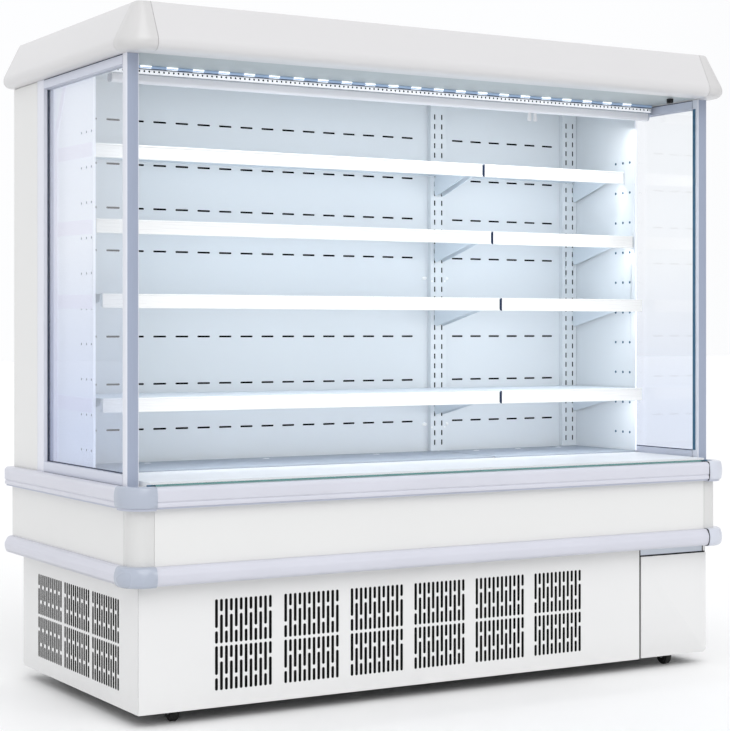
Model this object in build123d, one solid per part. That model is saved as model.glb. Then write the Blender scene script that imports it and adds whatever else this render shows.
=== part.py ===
from build123d import *
import math
import os

# Open multideck display fridge, millimetres, +Z up, front towards -Y.
# Origin: on the floor, under the centre of the overall box.

# overall sizes
base_length = 2027.0        # machine base, left end to right end
cabinet_depth = 930.0       # front panel to the back of the insulated body
rear_step = 20.0            # machine base ends this far in front of the insulated body's back
overall_height = 2005.0
canopy_height = 143.0
skirt_gap = 37.0            # floor to the lower edge of the base panels
base_top = 392.0            # upper edge of the base panels
tub_floor_z = 400.0         # underside of the insulated tub
tub_rim_z = 665.0

# shell build-up
sheet = 2.0                 # outer sheet metal
liner_sheet = 1.5           # inner sheet metal
panel_seam = 0.5            # open seam between neighbouring panels
band_overhang = 30.0        # band panels stand this far outside the base
bumper_overhang = 57.0
canopy_overhang = 60.0      # widest line of the canopy outside the base
corner_inset = 15.0         # centre of all rounded corners, inside the base corner
corner_reach = 35.0         # straight rails start this far inside the base corner
lower_bumper_height = 54.0
lower_bumper_z = 394.0
upper_bumper_height = 60.0
upper_bumper_z = 607.0
bumper_round = 13.0
cap_proud = 1.5             # moulded corner caps over the straight bumpers
cap_bevel = 9.1
cap_rise = 1.0              # upper caps above the upper bumper
bumper_lip = 5.0            # dark lip under the upper bumper
bumper_lip_depth = 4.0      # lip inside the bumper's face
bumper_bead = 8.0           # straight face of the lower bead
bumper_bead_depth = 1.0
bumper_groove = 2.5         # groove between bead and main face
bumper_groove_rise = 2.0
bumper_face_rise = 3.0

# canopy
canopy_lean = 26.4          # degrees that the fascia leans back
canopy_round = 28.0
canopy_skin = 3.0
canopy_toe_steps = 6        # flats that round the lower edge
canopy_flange = 5.0         # flanges reach this far beyond the corner's centre
roof_slab = 67.0
wall_foam = 60.0            # insulated back and rear columns
tub_foam = 55.0

# base grilles
slot_width = 6.5
slot_long = 82.0
slot_stagger = 41.0         # every other slot of a half block lies this much lower
half_block_gap = 9.0        # metal left between the upper and the lower half block
slot_pitch = 15.5
slot_columns = 12
flange_low = 8.0            # folded flanges of the front panel
flange_side = 18.0
grille_top_z = 342.0
front_blocks = 6
front_block_pitch = 220.0
front_block_start = 323.0   # centre of the first block from the left end
end_blocks = 3
end_block_pitch = 221.0
end_block_start = 236.0     # centre of the first block from the front

# service door
door_width = 271.0
door_thickness = 20.0
door_top_z = 366.0
door_gap = 6.0
door_corner_cut = 10.0
hinge_pin_r = 4.0
hinge_inset = 12.0          # pin centre from the door's right edge
hinge_barrel = 20.0
hinge_arm = 4.0
hinge_arm_width = 10.0
hinge_knuckle = 8.0         # pin centre to the barrel's faces
door_border = 22.0          # width of the inner frame round the service opening
door_floor_gap = 2.0        # door's lower edge above the panels' lower edge
frame_floor_gap = 15.0      # door frame above the panels' lower edge
frame_rebate = 5.0          # frame's top rail behind the front plane
frame_head_gap = 4.0        # door's top to the frame's top rail
hinge_low = 45.0            # lower hinge above the panels' lower edge
hinge_drop = 55.0           # upper hinge below the door's top
hinge_pocket = 3.0          # free space below each hinge arm
running_clearance = 0.05    # radial, on every turning fit
seat_gap = 0.3              # between pieces that move on each other

# castors
castor_height = 81.0
wheel_r = 27.0
wheel_width = 22.0
castor_trail = 22.0
castor_inset_x = 128.0
castor_inset_y = 82.0
king_pin_r = 5.0
axle_r = 4.0
castor_plate = 3.0
castor_plate_length = 68.0
castor_plate_width = 60.0
fork_plate = 2.5
fork_crown = 7.0
fork_crown_front = 13.0     # crown ahead of and behind the king pin
fork_crown_rear = 17.0
fork_side_play = 1.0        # wheel to each leg
fork_boss = 9.0             # leg round the axle

# chassis and machine
frame_tube = 40.0
frame_post = 30.0
frame_set_back = 27.0       # chassis behind the front panel
frame_play = 1.0            # chassis to the end panels and the rear cover
compressor_r = 88.0
compressor_height = 205.0
compressor_dome = 60.0      # height of the tapered top
compressor_crown = 0.6      # crown radius as a share of the shell's
compressor_foot = 12.0
compressor_foot_reach = 14.0
compressor_offset = 170.0   # right of the middle
compressor_set_back = 480.0
terminal_reach = 26.0
terminal_width = 56.0
terminal_low = 60.0
terminal_height = 60.0
pipe_r = 8.0
pipe_rise = 110.0           # discharge pipe above the tray
pipe_inset = 22.0           # discharge pipe in front of the coil's rear face
condenser_width = 540.0
condenser_height = 240.0
condenser_depth = 78.0
condenser_from_left = 700.0
condenser_set_back = 72.0
condenser_ribs = 6
condenser_rib = 2.0
condenser_rib_depth = 8.0
end_plate = 3.0
condenser_fan_r = 108.0
fan_tip_gap = 5.0           # blade tips to the mouth
condenser_hub_r = 38.0
condenser_hub_front = 12.0  # hub ahead of the shroud's rear face
condenser_blades = 5
blade_pitch = 24.0
blade_sheet = 2.0
blade_chord = 0.62          # share of the fan's radius
blade_root = 4.0            # blade sunk into the hub
blade_place = 0.3           # share of the hub's depth
shroud_depth = 40.0
strap_width = 28.0
strap_reach = 46.0          # shroud face to the strap behind the fan
pan_depth = 60.0
pan_length = 460.0
pan_width = 260.0
pan_sheet = 3.0
pan_set_in = 70.0           # pan in front of the base's rear plane
box_length = 160.0          # control box
box_depth = 85.0
box_height = 190.0
box_from_right = 90.0
box_set_back = 90.0
box_lid = 6.0
box_lid_lap = 3.0
box_cover_margin = 20.0
box_cover_low = 90.0
box_cover_height = 70.0
cover_floor_gap = 20.0      # rear cover above the panels' lower edge
louvre_width = 300.0
louvre_height = 12.0
louvre_columns = 3
louvre_rows = 4
louvre_pitch = 380.0
louvre_rise = 42.0
louvre_drop = 110.0         # first louvre below the base's top
gland_from_right = 260.0
gland_drop = 60.0           # gland below the base's top
gland_r = 5.0
gland_wall = 5.0            # hexagon corners of the gland outside its bore
gland_out = 8.0             # cable gland outside the rear cover
gland_length = 20.0

# display space
glass_frame_out = 25.0      # outer plane of the end glass frames, outside the base
glass_frame_width = 38.0
post_depth = 27.0
post_bevel = 2.0
post_set_back = 25.0        # front plane of the posts behind the base front
bottom_rail_height = 33.0
top_rail_height = 28.0
stile_depth = 55.0
side_window_depth = 695.0   # posts' front plane to the stile's rear face
pane = 8.0
pane_bite = 6.0             # depth of the glazing groove
pane_play = 1.0             # groove clearance behind the pane's edge
riser_height = 33.0         # low glass along the front of the deck
riser_proud = 6.0
liner_set_in = 20.0         # side liners inside the base ends
side_liner_front = 345.0    # from the base front
back_panel_y = 700.0        # from the base front
upright_depth = 20.0
upright_width = 62.0
upright_offset = 400.5      # centre upright, right of the middle
liner_play = 1.0            # inner sheets and uprights to their neighbours
shelf_shares = (0.8202, 0.6285, 0.4419, 0.1841)  # levels, as shares of the display height
shelf_front_ys = (400.0, 350.0, 300.0, 300.0)
price_rail_height = 42.0
price_rail_depth = 6.0
price_rail_lip = 6.0
price_rail_recess = 2.0
shelf_side_gap = 5.0        # shelves to the side liners
shelf_rear_gap = 2.0        # shelves to the uprights
shelf_rear_fold = 22.0
shelf_return = 14.0
shelf_fold_gap = 4.0        # front fold ends this far above the ticket rail's foot
bay_gap = 8.0               # between the two shelves of a level
bracket_root = 92.0
bracket_tip = 20.0
bracket_plate = 3.0
bracket_inset = 9.0         # brackets inside the shelf's ends
bracket_set_back = 40.0     # bracket's tip behind the ticket rail
bracket_notch = 26.0        # notch round the shelf's rear fold
bracket_notch_reach = 4.0
deck_z = 683.0
deck_front_y = 340.0
deck_fold = 18.0
cover_gap = 6.0             # front cover to the deck's front edge
cover_drop = 4.0            # front cover below the deck
grille_slot_count = 16
return_slot_gap = 24.0
return_slot_width = 22.0
return_slot_set_in = 40.0

# header, light and night blind
ceiling_rise = 21.0         # inner ceiling above the canopy's underside
header_drop = 20.0          # header lip below the canopy's underside
header_lip = 10.0
soffit_lap = 12.0           # soffit's front edge ahead of the base front
blind_y = 268.0             # plane of the night blind behind the base front
header_front_y = 256.0
header_duct_front = 285.0
header_duct_depth = 62.0
header_duct_rise = 2.0      # duct's underside above the header lip
header_end_gap = 4.0        # header parts to the side liners
led_height = 14.0
led_depth = 8.0
blind_bar_height = 25.0
blind_bar_depth = 26.0
blind_bar_drop = 4.0        # between the header's lower lip and the bar
blind_end_gap = 30.0        # bar ends inside the base ends
blind_bar_bevel = 6.0
blind_cloth = 0.8
blind_slot_inset = 2.0      # slot ends inside the bar's ends
blind_slot_half = 6.0       # half width of the slot in the ceiling
cloth_inset = 12.0          # cloth edges inside the bar's ends
roller_inset = 4.0          # roller ends inside the bar's ends
roller_rise = 5.0           # roller above the ceiling sheet
roller_tab = 3.0            # roller bracket's thickness
roller_tab_inset = 6.0
roller_tab_wall = 4.0
roller_r = 20.0
knob_r = 6.0
knob_height = 27.0
knob_spread = 23.0
knob_offset = 503.0         # pull knobs, right of the middle

# evaporator, below the deck
coil_length = 1500.0
coil_height = 130.0
coil_depth = 240.0
fan_plate_y = 395.0
evap_fan_r = 80.0
evap_fan_spread = 820.0
evap_fan_rise = 18.0        # blade tips above the tub's floor
evap_hub_r = 22.0
evap_hub_short = 6.0        # hub shorter than the strap's reach
evap_blades = 4
evap_strap_reach = 46.0     # fan plate to the strap in front of the fan
evap_strap_width = 16.0
fan_plate_drop = 30.0       # fan plate's top below the deck
coil_foot = 6.0             # core above the tub's floor
coil_set_back = 45.0        # coil behind the fan plate
tub_bottom = 55.0

# reference planes
half = base_length / 2
front = -(cabinet_depth - canopy_overhang) / 2
rear = front + cabinet_depth
base_rear = rear - rear_step
canopy_lip_z = overall_height - canopy_height
ceiling_z = canopy_lip_z + ceiling_rise
header_lip_z = canopy_lip_z - header_drop
roller_y = front + blind_y + blind_cloth / 2 + seat_gap + roller_r
roller_z = ceiling_z + liner_sheet + roller_r + roller_rise
bar_top = header_lip_z - blind_bar_drop
bar_low = bar_top - blind_bar_height
shelf_heights = [deck_z + share * (canopy_lip_z - deck_z) for share in shelf_shares]
lean = math.radians(canopy_lean)
toe = canopy_round / math.tan((math.pi / 2 - lean) / 2)
canopy_toe_u = canopy_overhang - canopy_round + toe
canopy_head_u = canopy_toe_u - canopy_height * math.tan(lean)
flange_u = canopy_flange - corner_inset
compressor_x = compressor_offset
compressor_y = front + compressor_set_back
condenser_x = -half + condenser_from_left
condenser_front = front + condenser_set_back
gland_x = half - gland_from_right
gland_z = base_top - gland_drop
fork_top = castor_height - castor_plate - seat_gap
tub_out = band_overhang - sheet
coil_front = front + fan_plate_y + coil_set_back
corner_x = half - corner_inset
corner_y = front + corner_inset
rail_x = half - corner_reach
rail_y = front + corner_reach
riser_top = upper_bumper_z + upper_bumper_height + riser_proud
riser_low = riser_top - riser_height
tub_inner_floor = tub_floor_z + tub_bottom
tub_inner_x = half + tub_out - tub_foam
tub_inner_front = front - tub_out + tub_foam
wall_front = rear - wall_foam
slab_top = overall_height - canopy_skin
slab_bottom = slab_top - roof_slab
back_panel = front + back_panel_y
shelf_rear = back_panel - upright_depth - shelf_rear_gap
liner_x = half - liner_set_in
window_front = front + post_set_back
window_rear = window_front + side_window_depth
column_front = window_rear
column_in = half + glass_frame_out - wall_foam
frame_floor = castor_height + frame_tube
door_right = half - sheet / 2
door_left = door_right - door_width
panel_right = door_left - door_gap
frame_back = front + sheet + frame_set_back
pin_x = door_right - hinge_inset
pin_y = front + door_thickness / 2


def block(x0, x1, y0, y1, z0, z1):
    """A rectangular solid between two corners."""
    box = Box(x1 - x0, y1 - y0, z1 - z0)
    return Pos((x0 + x1) / 2, (y0 + y1) / 2, (z0 + z1) / 2) * box


def rod(radius, start, end):
    """A round bar between two points on a line parallel to an axis."""
    line = Vector(*end) - Vector(*start)
    plane = Plane(origin=start, z_dir=line)
    return extrude(plane * Circle(radius), line.length)


def folded(path, thickness, side=Side.RIGHT):
    """Section of a folded sheet that follows a path of straight runs."""
    return make_face(offset(Polyline(*path), thickness, side=side, kind=Kind.INTERSECTION))


def extrude_x(section, x0, x1):
    """Extrude a section drawn as (Y, Z) from x0 to x1."""
    return extrude(Plane.YZ.offset(x0) * section, x1 - x0)


def along_front(section, x0, x1):
    """Extrude a section drawn as (outward, Z) along the front."""
    plane = Plane(origin=(x1, front, 0), x_dir=(0, -1, 0), z_dir=(-1, 0, 0))
    return extrude(plane * section, x1 - x0)


def along_left(section, y0, y1):
    """Extrude a section drawn as (outward, Z) along the left end."""
    plane = Plane(origin=(-half, y0, 0), x_dir=(-1, 0, 0), z_dir=(0, 1, 0))
    return extrude(plane * section, y1 - y0)


def left_corner(section):
    """Sweep a section drawn as (outward, Z) round the front left corner."""
    plane = Plane(origin=(-corner_x, front, 0), x_dir=(0, -1, 0), z_dir=(-1, 0, 0))
    turn = revolve(plane * section, Axis((-corner_x, corner_y, 0), (0, 0, 1)), -90)
    front_run = along_front(section, -corner_x, -rail_x - panel_seam)
    end_run = along_left(section, corner_y, rail_y - panel_seam)
    return turn + front_run + end_run


def mirrored(solid):
    """The same solid on the other end of the cabinet."""
    return mirror(solid, about=Plane.YZ)


def both_ends(solid):
    """A solid at the left end and its mirror image at the right end."""
    return [solid, mirrored(solid)]


def solids_of(items):
    """All solids of a shape or of a list of shapes."""
    found = []
    for item in items if isinstance(items, (list, tuple)) else [items]:
        found.extend(item.solids())
    return found


nodes = {}


def keep(name, items):
    """Store the separate solids of one named piece."""
    nodes[name] = Compound(children=solids_of(items))


# machine base
def slot_block(centre, upper_z):
    """Staggered slots of one grille block, drawn as (along, Z)."""
    slots = Sketch()
    half_height = slot_long + slot_stagger
    for half_block in range(2):
        top = upper_z - half_block * (half_height + half_block_gap)
        for column in range(slot_columns):
            x = centre + (column - (slot_columns - 1) / 2) * slot_pitch
            low = column % 2 != half_block % 2
            z = top - slot_long / 2 - (slot_stagger if low else 0.0)
            slots += Pos(x, z) * Rectangle(slot_width, slot_long)
    return slots


def make_front_grille():
    """Front base panel: folded sheet with six blocks of slots."""
    low = skirt_gap
    width = panel_right + half
    face = Pos(-half + width / 2, (low + base_top) / 2) * Rectangle(width, base_top - low)
    for index in range(front_blocks):
        centre = -half + front_block_start + index * front_block_pitch
        face -= slot_block(centre, grille_top_z)
    plane = Plane(origin=(0, front, 0), x_dir=(1, 0, 0), z_dir=(0, -1, 0))
    panel = extrude(plane * face, -sheet)
    inner = front + sheet
    x0 = -half + sheet + panel_seam
    panel += block(x0, panel_right, inner, inner + flange_low, low, low + sheet)
    panel += block(x0, panel_right, inner, inner + frame_set_back, base_top - sheet, base_top)
    panel += block(panel_right - sheet, panel_right, inner, inner + flange_side, low, base_top)
    return panel


def make_left_grille():
    """Left base panel with three blocks of slots and a cut lower rear corner."""
    low = skirt_gap
    length = base_rear - front - sheet - panel_seam
    middle = front + sheet + panel_seam + length / 2
    face = Pos(middle, (low + base_top) / 2) * Rectangle(length, base_top - low)
    face = chamfer(face.vertices().sort_by(Axis.X)[-2:].sort_by(Axis.Y)[:1], door_corner_cut)
    for index in range(end_blocks):
        centre = front + end_block_start + index * end_block_pitch
        face -= slot_block(centre, grille_top_z)
    return extrude(Plane.YZ.offset(-half) * face, sheet)


def make_right_end():
    """Plain right base panel, behind the service door's edge."""
    low = skirt_gap
    y0 = front + door_thickness + door_gap
    panel = block(half - sheet, half, y0, base_rear, low, base_top)
    edge = panel.edges().filter_by(Axis.X).sort_by(Axis.Z)[:2].sort_by(Axis.Y)[-1:]
    return chamfer(edge, door_corner_cut)


def make_rear_cover():
    """Rear sheet of the machine base, with louvre slots and a cable gland."""
    low = skirt_gap + cover_floor_gap
    span = base_length - 2 * sheet
    face = Pos(0, (low + base_top) / 2) * Rectangle(span, base_top - low)
    for column in range(louvre_columns):
        for row in range(louvre_rows):
            x = (column - (louvre_columns - 1) / 2) * louvre_pitch
            z = base_top - louvre_drop - row * louvre_rise
            face -= Pos(x, z) * Rectangle(louvre_width, louvre_height)
    plane = Plane(origin=(0, base_rear, 0), x_dir=(1, 0, 0), z_dir=(0, -1, 0))
    cover = extrude(plane * face, sheet)
    mouth = Plane(origin=(0, base_rear + gland_out, 0), x_dir=(1, 0, 0), z_dir=(0, -1, 0))
    body = Pos(gland_x, gland_z) * RegularPolygon(gland_r + gland_wall, 6)
    cover += extrude(mouth * body, gland_length)
    hole = Pos(gland_x, gland_z) * Circle(gland_r)
    return cover - extrude(mouth * hole, gland_length)


def make_frame():
    """Welded tube chassis: floor ring, posts, top ring and castor plates."""
    x1 = half - sheet - frame_play
    y0 = front + sheet + frame_set_back
    y1 = base_rear - sheet - frame_play
    low = castor_height
    tubes = []
    for y in (y0, y1 - frame_tube):
        tubes.append(block(-x1, x1, y, y + frame_tube, low, frame_floor))
    castor_x = half - castor_inset_x
    centres = (frame_tube / 2 - x1, -castor_x, 0.0, castor_x, x1 - frame_tube / 2)
    for x in [centre - frame_tube / 2 for centre in centres]:
        tubes.append(block(x, x + frame_tube, y0 + frame_tube, y1 - frame_tube, low, frame_floor))
    top = tub_floor_z - frame_post
    post_xs = (-x1, -frame_post / 2, x1 - frame_post)
    for x in post_xs:
        for y in (y0, y1 - frame_post):
            tubes.append(block(x, x + frame_post, y, y + frame_post, frame_floor, top))
    for y in (y0, y1 - frame_post):
        tubes.append(block(-x1, x1, y, y + frame_post, top, tub_floor_z))
    for x in post_xs:
        tubes.append(block(x, x + frame_post, y0 + frame_post, y1 - frame_post, top, tub_floor_z))
    for x, y in castor_places():
        tubes.append(castor_plate_with_pin(x, y))
    return tubes


def castor_places():
    """Swivel centres of the four castors."""
    back = base_rear - castor_inset_y
    near = front + castor_inset_y
    side = half - castor_inset_x
    return [(-side, near), (side, near), (-side, back), (side, back)]


def castor_plate_with_pin(x, y):
    """Top plate of a castor with its king pin."""
    low = castor_height - castor_plate
    length = castor_plate_length / 2
    width = castor_plate_width / 2
    plate = block(x - length, x + length, y - width, y + width, low, castor_height)
    return plate + rod(king_pin_r, (x, y, fork_top - fork_crown), (x, y, low))


def make_fork(x, y):
    """Swivel fork of a castor: crown, two raked legs and the axle."""
    crown_low = fork_top - fork_crown
    inner = wheel_width / 2 + fork_side_play
    outer = inner + fork_plate
    crown = block(-outer, outer, -fork_crown_rear, fork_crown_front, crown_low, fork_top)
    boss_low = wheel_r - fork_boss * 0.8
    side = Polyline((fork_crown_front, crown_low), (-fork_crown_rear, crown_low),
                    (-castor_trail - fork_boss, wheel_r + fork_boss / 3),
                    (-castor_trail - fork_boss / 2, boss_low),
                    (-castor_trail + fork_boss / 2, boss_low),
                    (-castor_trail + fork_boss, wheel_r), close=True)
    leg = make_face(side)
    fork = crown + extrude_x(leg, inner, outer) + extrude_x(leg, -outer, -inner)
    fork += rod(axle_r, (-inner, -castor_trail, wheel_r), (inner, -castor_trail, wheel_r))
    fork -= rod(king_pin_r + running_clearance, (0, 0, crown_low - 1), (0, 0, fork_top + 1))
    return Pos(x, y, 0) * fork


def make_wheel(x, y):
    """Castor wheel with a plain bore."""
    y -= castor_trail
    w = wheel_width / 2
    wheel = rod(wheel_r, (x - w, y, wheel_r), (x + w, y, wheel_r))
    bore = axle_r + running_clearance
    return wheel - rod(bore, (x - w - 1, y, wheel_r), (x + w + 1, y, wheel_r))


def make_door():
    """Service door: folded tray with two hinge barrels."""
    low = skirt_gap + door_floor_gap
    y1 = front + door_thickness
    tray = block(door_left, door_right, front, y1, low, door_top_z)
    edge = tray.edges().filter_by(Axis.Y).sort_by(Axis.X)[-2:].sort_by(Axis.Z)[:1]
    tray = chamfer(edge, door_corner_cut)
    tray -= block(door_left + sheet, door_right - sheet, front + sheet, y1 + 1,
                  low + door_corner_cut + sheet, door_top_z - sheet)
    for z in hinge_heights():
        tray -= block(door_right - 2 * sheet, door_right + 1, front + sheet, y1 + 1,
                      z - hinge_arm - hinge_pocket, z + seat_gap)
        barrel = block(pin_x - hinge_knuckle, door_right - sheet, front + sheet,
                       pin_y + hinge_knuckle, z + seat_gap, z + hinge_barrel)
        tray += barrel
        tray -= rod(hinge_pin_r + running_clearance, (pin_x, pin_y, z),
                    (pin_x, pin_y, z + hinge_barrel + 1))
    return tray


def hinge_heights():
    """Upper faces of the lower and the upper hinge arm."""
    return [skirt_gap + hinge_low, door_top_z - hinge_drop]


def make_door_frame():
    """Inner frame behind the service door, with hinge arms and pins."""
    x0 = door_left - door_gap + panel_seam
    x1 = half - sheet
    y0 = frame_back - sheet
    step = front + door_thickness + door_gap - panel_seam * 2
    low = skirt_gap + frame_floor_gap
    head = door_top_z + frame_head_gap
    frame = block(x0, half, front + frame_rebate, step, head, base_top)
    frame += block(x0, x1, step, frame_back, head, base_top)
    frame += block(x0, x0 + door_border, y0, frame_back, low, head)
    frame += block(x1 - door_border, x1, y0, frame_back, low, head)
    frame += block(x0, x1, y0, frame_back, low, low + door_border)
    wide = hinge_arm_width / 2
    for z in hinge_heights():
        frame += block(pin_x - wide, pin_x + wide, pin_y - wide, frame_back, z - hinge_arm, z)
        frame += rod(hinge_pin_r, (pin_x, pin_y, z), (pin_x, pin_y, z + hinge_barrel))
    return frame


# machinery
def make_tray():
    """Machine tray on the chassis floor ring."""
    x1 = half - sheet - frame_play
    y0 = front + sheet + frame_set_back
    y1 = base_rear - sheet - frame_play
    z = frame_floor
    hole = frame_post + frame_play
    plan = block(-x1 + hole, -hole, y0 + hole, y1 - hole, z, z + sheet)
    plan += block(-hole, x1 - hole, y0 + hole, y1 - hole, z, z + sheet)
    return plan


def make_compressor():
    """Hermetic compressor: tapered shell on a foot plate, with its terminal box."""
    z = frame_floor + sheet
    r = compressor_r
    foot = z + compressor_foot
    crown = z + compressor_height
    outline = Polyline((0, foot), (r, foot), (r, crown - compressor_dome),
                       (r * compressor_crown, crown), (0, crown), close=True)
    shell = revolve(Plane.XZ * make_face(outline), Axis.Z, 360)
    reach = r + compressor_foot_reach
    feet = block(-reach, reach, -r * 0.7, r * 0.7, z, foot)
    wide = terminal_width / 2
    low = z + terminal_low
    box = block(r * 0.9, r + terminal_reach, -wide, wide, low, low + terminal_height)
    return Pos(compressor_x, compressor_y, 0) * (shell + feet + box)


def condenser_ends():
    """X limits of the condenser's core."""
    return condenser_x - condenser_width / 2, condenser_x + condenser_width / 2


def make_condenser():
    """Condenser coil: finned core and end plates, with its pipes."""
    z0 = frame_floor + sheet
    z1 = z0 + condenser_height
    x0, x1 = condenser_ends()
    y0 = condenser_front
    y1 = y0 + condenser_depth
    core_front = y0 + condenser_rib_depth
    core = block(x0, x1, core_front, y1, z0, z1)
    for index in range(condenser_ribs):
        x = x0 + (index + 0.5) * (x1 - x0) / condenser_ribs
        core += block(x - condenser_rib / 2, x + condenser_rib / 2, y0, core_front, z0, z1)
    plates = [block(x0 - end_plate, x0, y0, y1, z0, z1), block(x1, x1 + end_plate, y0, y1, z0, z1)]
    pipe_z = z0 + pipe_rise
    pipe_x = x1 + end_plate + pipe_r
    start = (pipe_x, y1 - pipe_inset, pipe_z)
    discharge = rod(pipe_r, start, (pipe_x, compressor_y, pipe_z))
    flat = pipe_r * 0.75
    discharge += block(pipe_x, compressor_x - compressor_r, compressor_y - flat, compressor_y + flat,
                       pipe_z - flat, pipe_z + flat)
    top = z0 + compressor_height
    suction = rod(pipe_r, (compressor_x, compressor_y, top), (compressor_x, compressor_y, tub_floor_z))
    return [core] + plates + [discharge, suction]


def make_shroud():
    """Fan shroud behind the condenser, with the strap that carries the fan."""
    z0 = frame_floor + sheet
    z1 = z0 + condenser_height
    x0, x1 = condenser_ends()
    y0 = condenser_front + condenser_depth
    y1 = y0 + shroud_depth
    zc = (z0 + z1) / 2
    box = block(x0, x1, y0, y1, z0, z1)
    box -= block(x0 + sheet, x1 - sheet, y0 - 1, y1 - sheet, z0 + sheet, z1 - sheet)
    mouth = condenser_fan_r + fan_tip_gap
    box -= rod(mouth, (condenser_x, y1 - sheet - 1, zc), (condenser_x, y1 + 1, zc))
    strap_y = y1 + strap_reach
    left = condenser_x - strap_width / 2
    right = condenser_x + strap_width / 2
    arm = block(left, right, strap_y, strap_y + end_plate, z0, z1)
    arm += block(left, right, y1, strap_y, z0, z0 + end_plate)
    arm += block(left, right, y1, strap_y, z1 - end_plate, z1)
    return box + arm


def make_fan(radius, hub_r, hub_depth, blade_count):
    """Axial fan with an external rotor: hub and pitched blades, axis along Y."""
    fan = rod(hub_r, (0, 0, 0), (0, hub_depth, 0))
    chord = radius * blade_chord
    root = hub_r - blade_root
    tip = math.sqrt(radius ** 2 - (chord / 2) ** 2)
    blade = Rot(0, 0, blade_pitch) * Box(chord, blade_sheet, tip - root)
    blade = Pos(0, hub_depth * blade_place, (root + tip) / 2) * blade
    for index in range(blade_count):
        fan += Rot(0, index * 360 / blade_count, 0) * blade
    return fan


def make_condenser_fan():
    """Condenser fan in the shroud's mouth, its rotor on the strap."""
    zc = frame_floor + sheet + condenser_height / 2
    strap_y = condenser_front + condenser_depth + shroud_depth + strap_reach
    depth = strap_reach + condenser_hub_front
    fan = make_fan(condenser_fan_r, condenser_hub_r, depth, condenser_blades)
    return Pos(condenser_x, strap_y - seat_gap - depth, zc) * fan


def make_drain_pan():
    """Melt water pan behind the condenser."""
    z0 = frame_floor + sheet
    z1 = z0 + pan_depth
    y1 = base_rear - pan_set_in
    y0 = y1 - pan_width
    x0 = condenser_x - pan_length / 2
    x1 = condenser_x + pan_length / 2
    wall = pan_sheet
    return block(x0, x1, y0, y1, z0, z1) - block(x0 + wall, x1 - wall, y0 + wall, y1 - wall,
                                                 z0 + wall, z1 + 1)


def make_electrical_box():
    """Control box behind the service door: body, lid and terminal cover."""
    z0 = frame_floor + sheet
    x1 = half - box_from_right
    x0 = x1 - box_length
    y0 = front + box_set_back
    lid_front = y0 - box_lid
    body = block(x0, x1, y0, y0 + box_depth, z0, z0 + box_height)
    lid = block(x0 - box_lid_lap, x1 + box_lid_lap, lid_front, y0, z0, z0 + box_height + box_lid_lap)
    lid = chamfer(lid.edges().filter_by(Axis.X).sort_by(Axis.Y)[:2], box_lid / 3)
    low = z0 + box_cover_low
    cover = block(x0 + box_cover_margin, x1 - box_cover_margin, lid_front - box_lid, lid_front,
                  low, low + box_cover_height)
    return [body, lid, cover]


# insulated body
def make_tub():
    """Insulated tub: rounded front corners, open top, rebate for the glass riser."""
    x1 = half + tub_out
    y0 = front - tub_out
    plan = Pos(0, (y0 + rear) / 2) * Rectangle(2 * x1, rear - y0)
    plan = fillet(plan.vertices().sort_by(Axis.Y)[:2], corner_inset + tub_out)
    tub = Pos(0, 0, tub_floor_z) * extrude(plan, tub_rim_z - tub_floor_z)
    tub -= block(-tub_inner_x, tub_inner_x, tub_inner_front, wall_front,
                 tub_inner_floor, tub_rim_z + 1)
    riser_x = half - glass_frame_out
    tub -= block(-riser_x, riser_x, y0 - 1, y0 + pane, riser_low, tub_rim_z + 1)
    return tub


def make_riser():
    """Low glass strip along the front of the deck."""
    x1 = half - glass_frame_out - panel_seam
    y0 = front - tub_out
    return block(-x1, x1, y0, y0 + pane, riser_low, riser_top)


def band_section():
    """Section of a band panel between the two bumpers."""
    low = lower_bumper_z + lower_bumper_height
    return make_face(Polyline((tub_out, low), (band_overhang, low),
                              (band_overhang, upper_bumper_z), (tub_out, upper_bumper_z),
                              close=True))


def lower_bumper_section():
    """D-shaped section of the lower bumper."""
    low = lower_bumper_z
    high = low + lower_bumper_height
    out = bumper_overhang
    face = make_face(Polyline((tub_out, low), (out, low), (out, high), (tub_out, high), close=True))
    corners = face.vertices().sort_by(Axis.X)[-2:]
    return fillet(corners, bumper_round)


def upper_bumper_section():
    """Section of the upper bumper: lower lip, bead, groove and rounded face."""
    low = upper_bumper_z
    high = low + upper_bumper_height
    out = bumper_overhang
    lip = out - bumper_lip_depth
    bead = out - bumper_bead_depth
    bead_low = low + bumper_lip
    bead_high = bead_low + bumper_bead
    groove_z = bead_high + bumper_groove_rise
    points = [(tub_out, low), (lip, low), (lip, bead_low), (bead, bead_low), (bead, bead_high),
              (bead - bumper_groove, groove_z), (out, groove_z + bumper_face_rise), (out, high),
              (tub_out, high)]
    face = make_face(Polyline(*points, close=True))
    top = face.vertices().sort_by(Axis.Y)[-2:].sort_by(Axis.X)[-1:]
    return fillet(top, bumper_round)


def cap_section(low, high):
    """Section of a moulded corner cap with bevelled edges."""
    out = bumper_overhang + cap_proud
    bevel = cap_bevel
    return make_face(Polyline((tub_out, low), (out - bevel, low), (out, low + bevel),
                              (out, high - bevel), (out - bevel, high), (tub_out, high),
                              close=True))


def three_sides(section):
    """Straight rails of one section along the front and both ends."""
    end = along_left(section, rail_y, rear)
    return [along_front(section, -rail_x, rail_x)] + both_ends(end)


def make_rear_wall():
    """Insulated back between the two rear columns."""
    return block(-column_in, column_in, wall_front, rear, tub_rim_z, slab_bottom)


def make_rear_columns():
    """Insulated columns behind the end windows."""
    column = block(-half - glass_frame_out, -column_in, column_front, rear,
                   tub_rim_z, canopy_lip_z)
    return both_ends(column)


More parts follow.
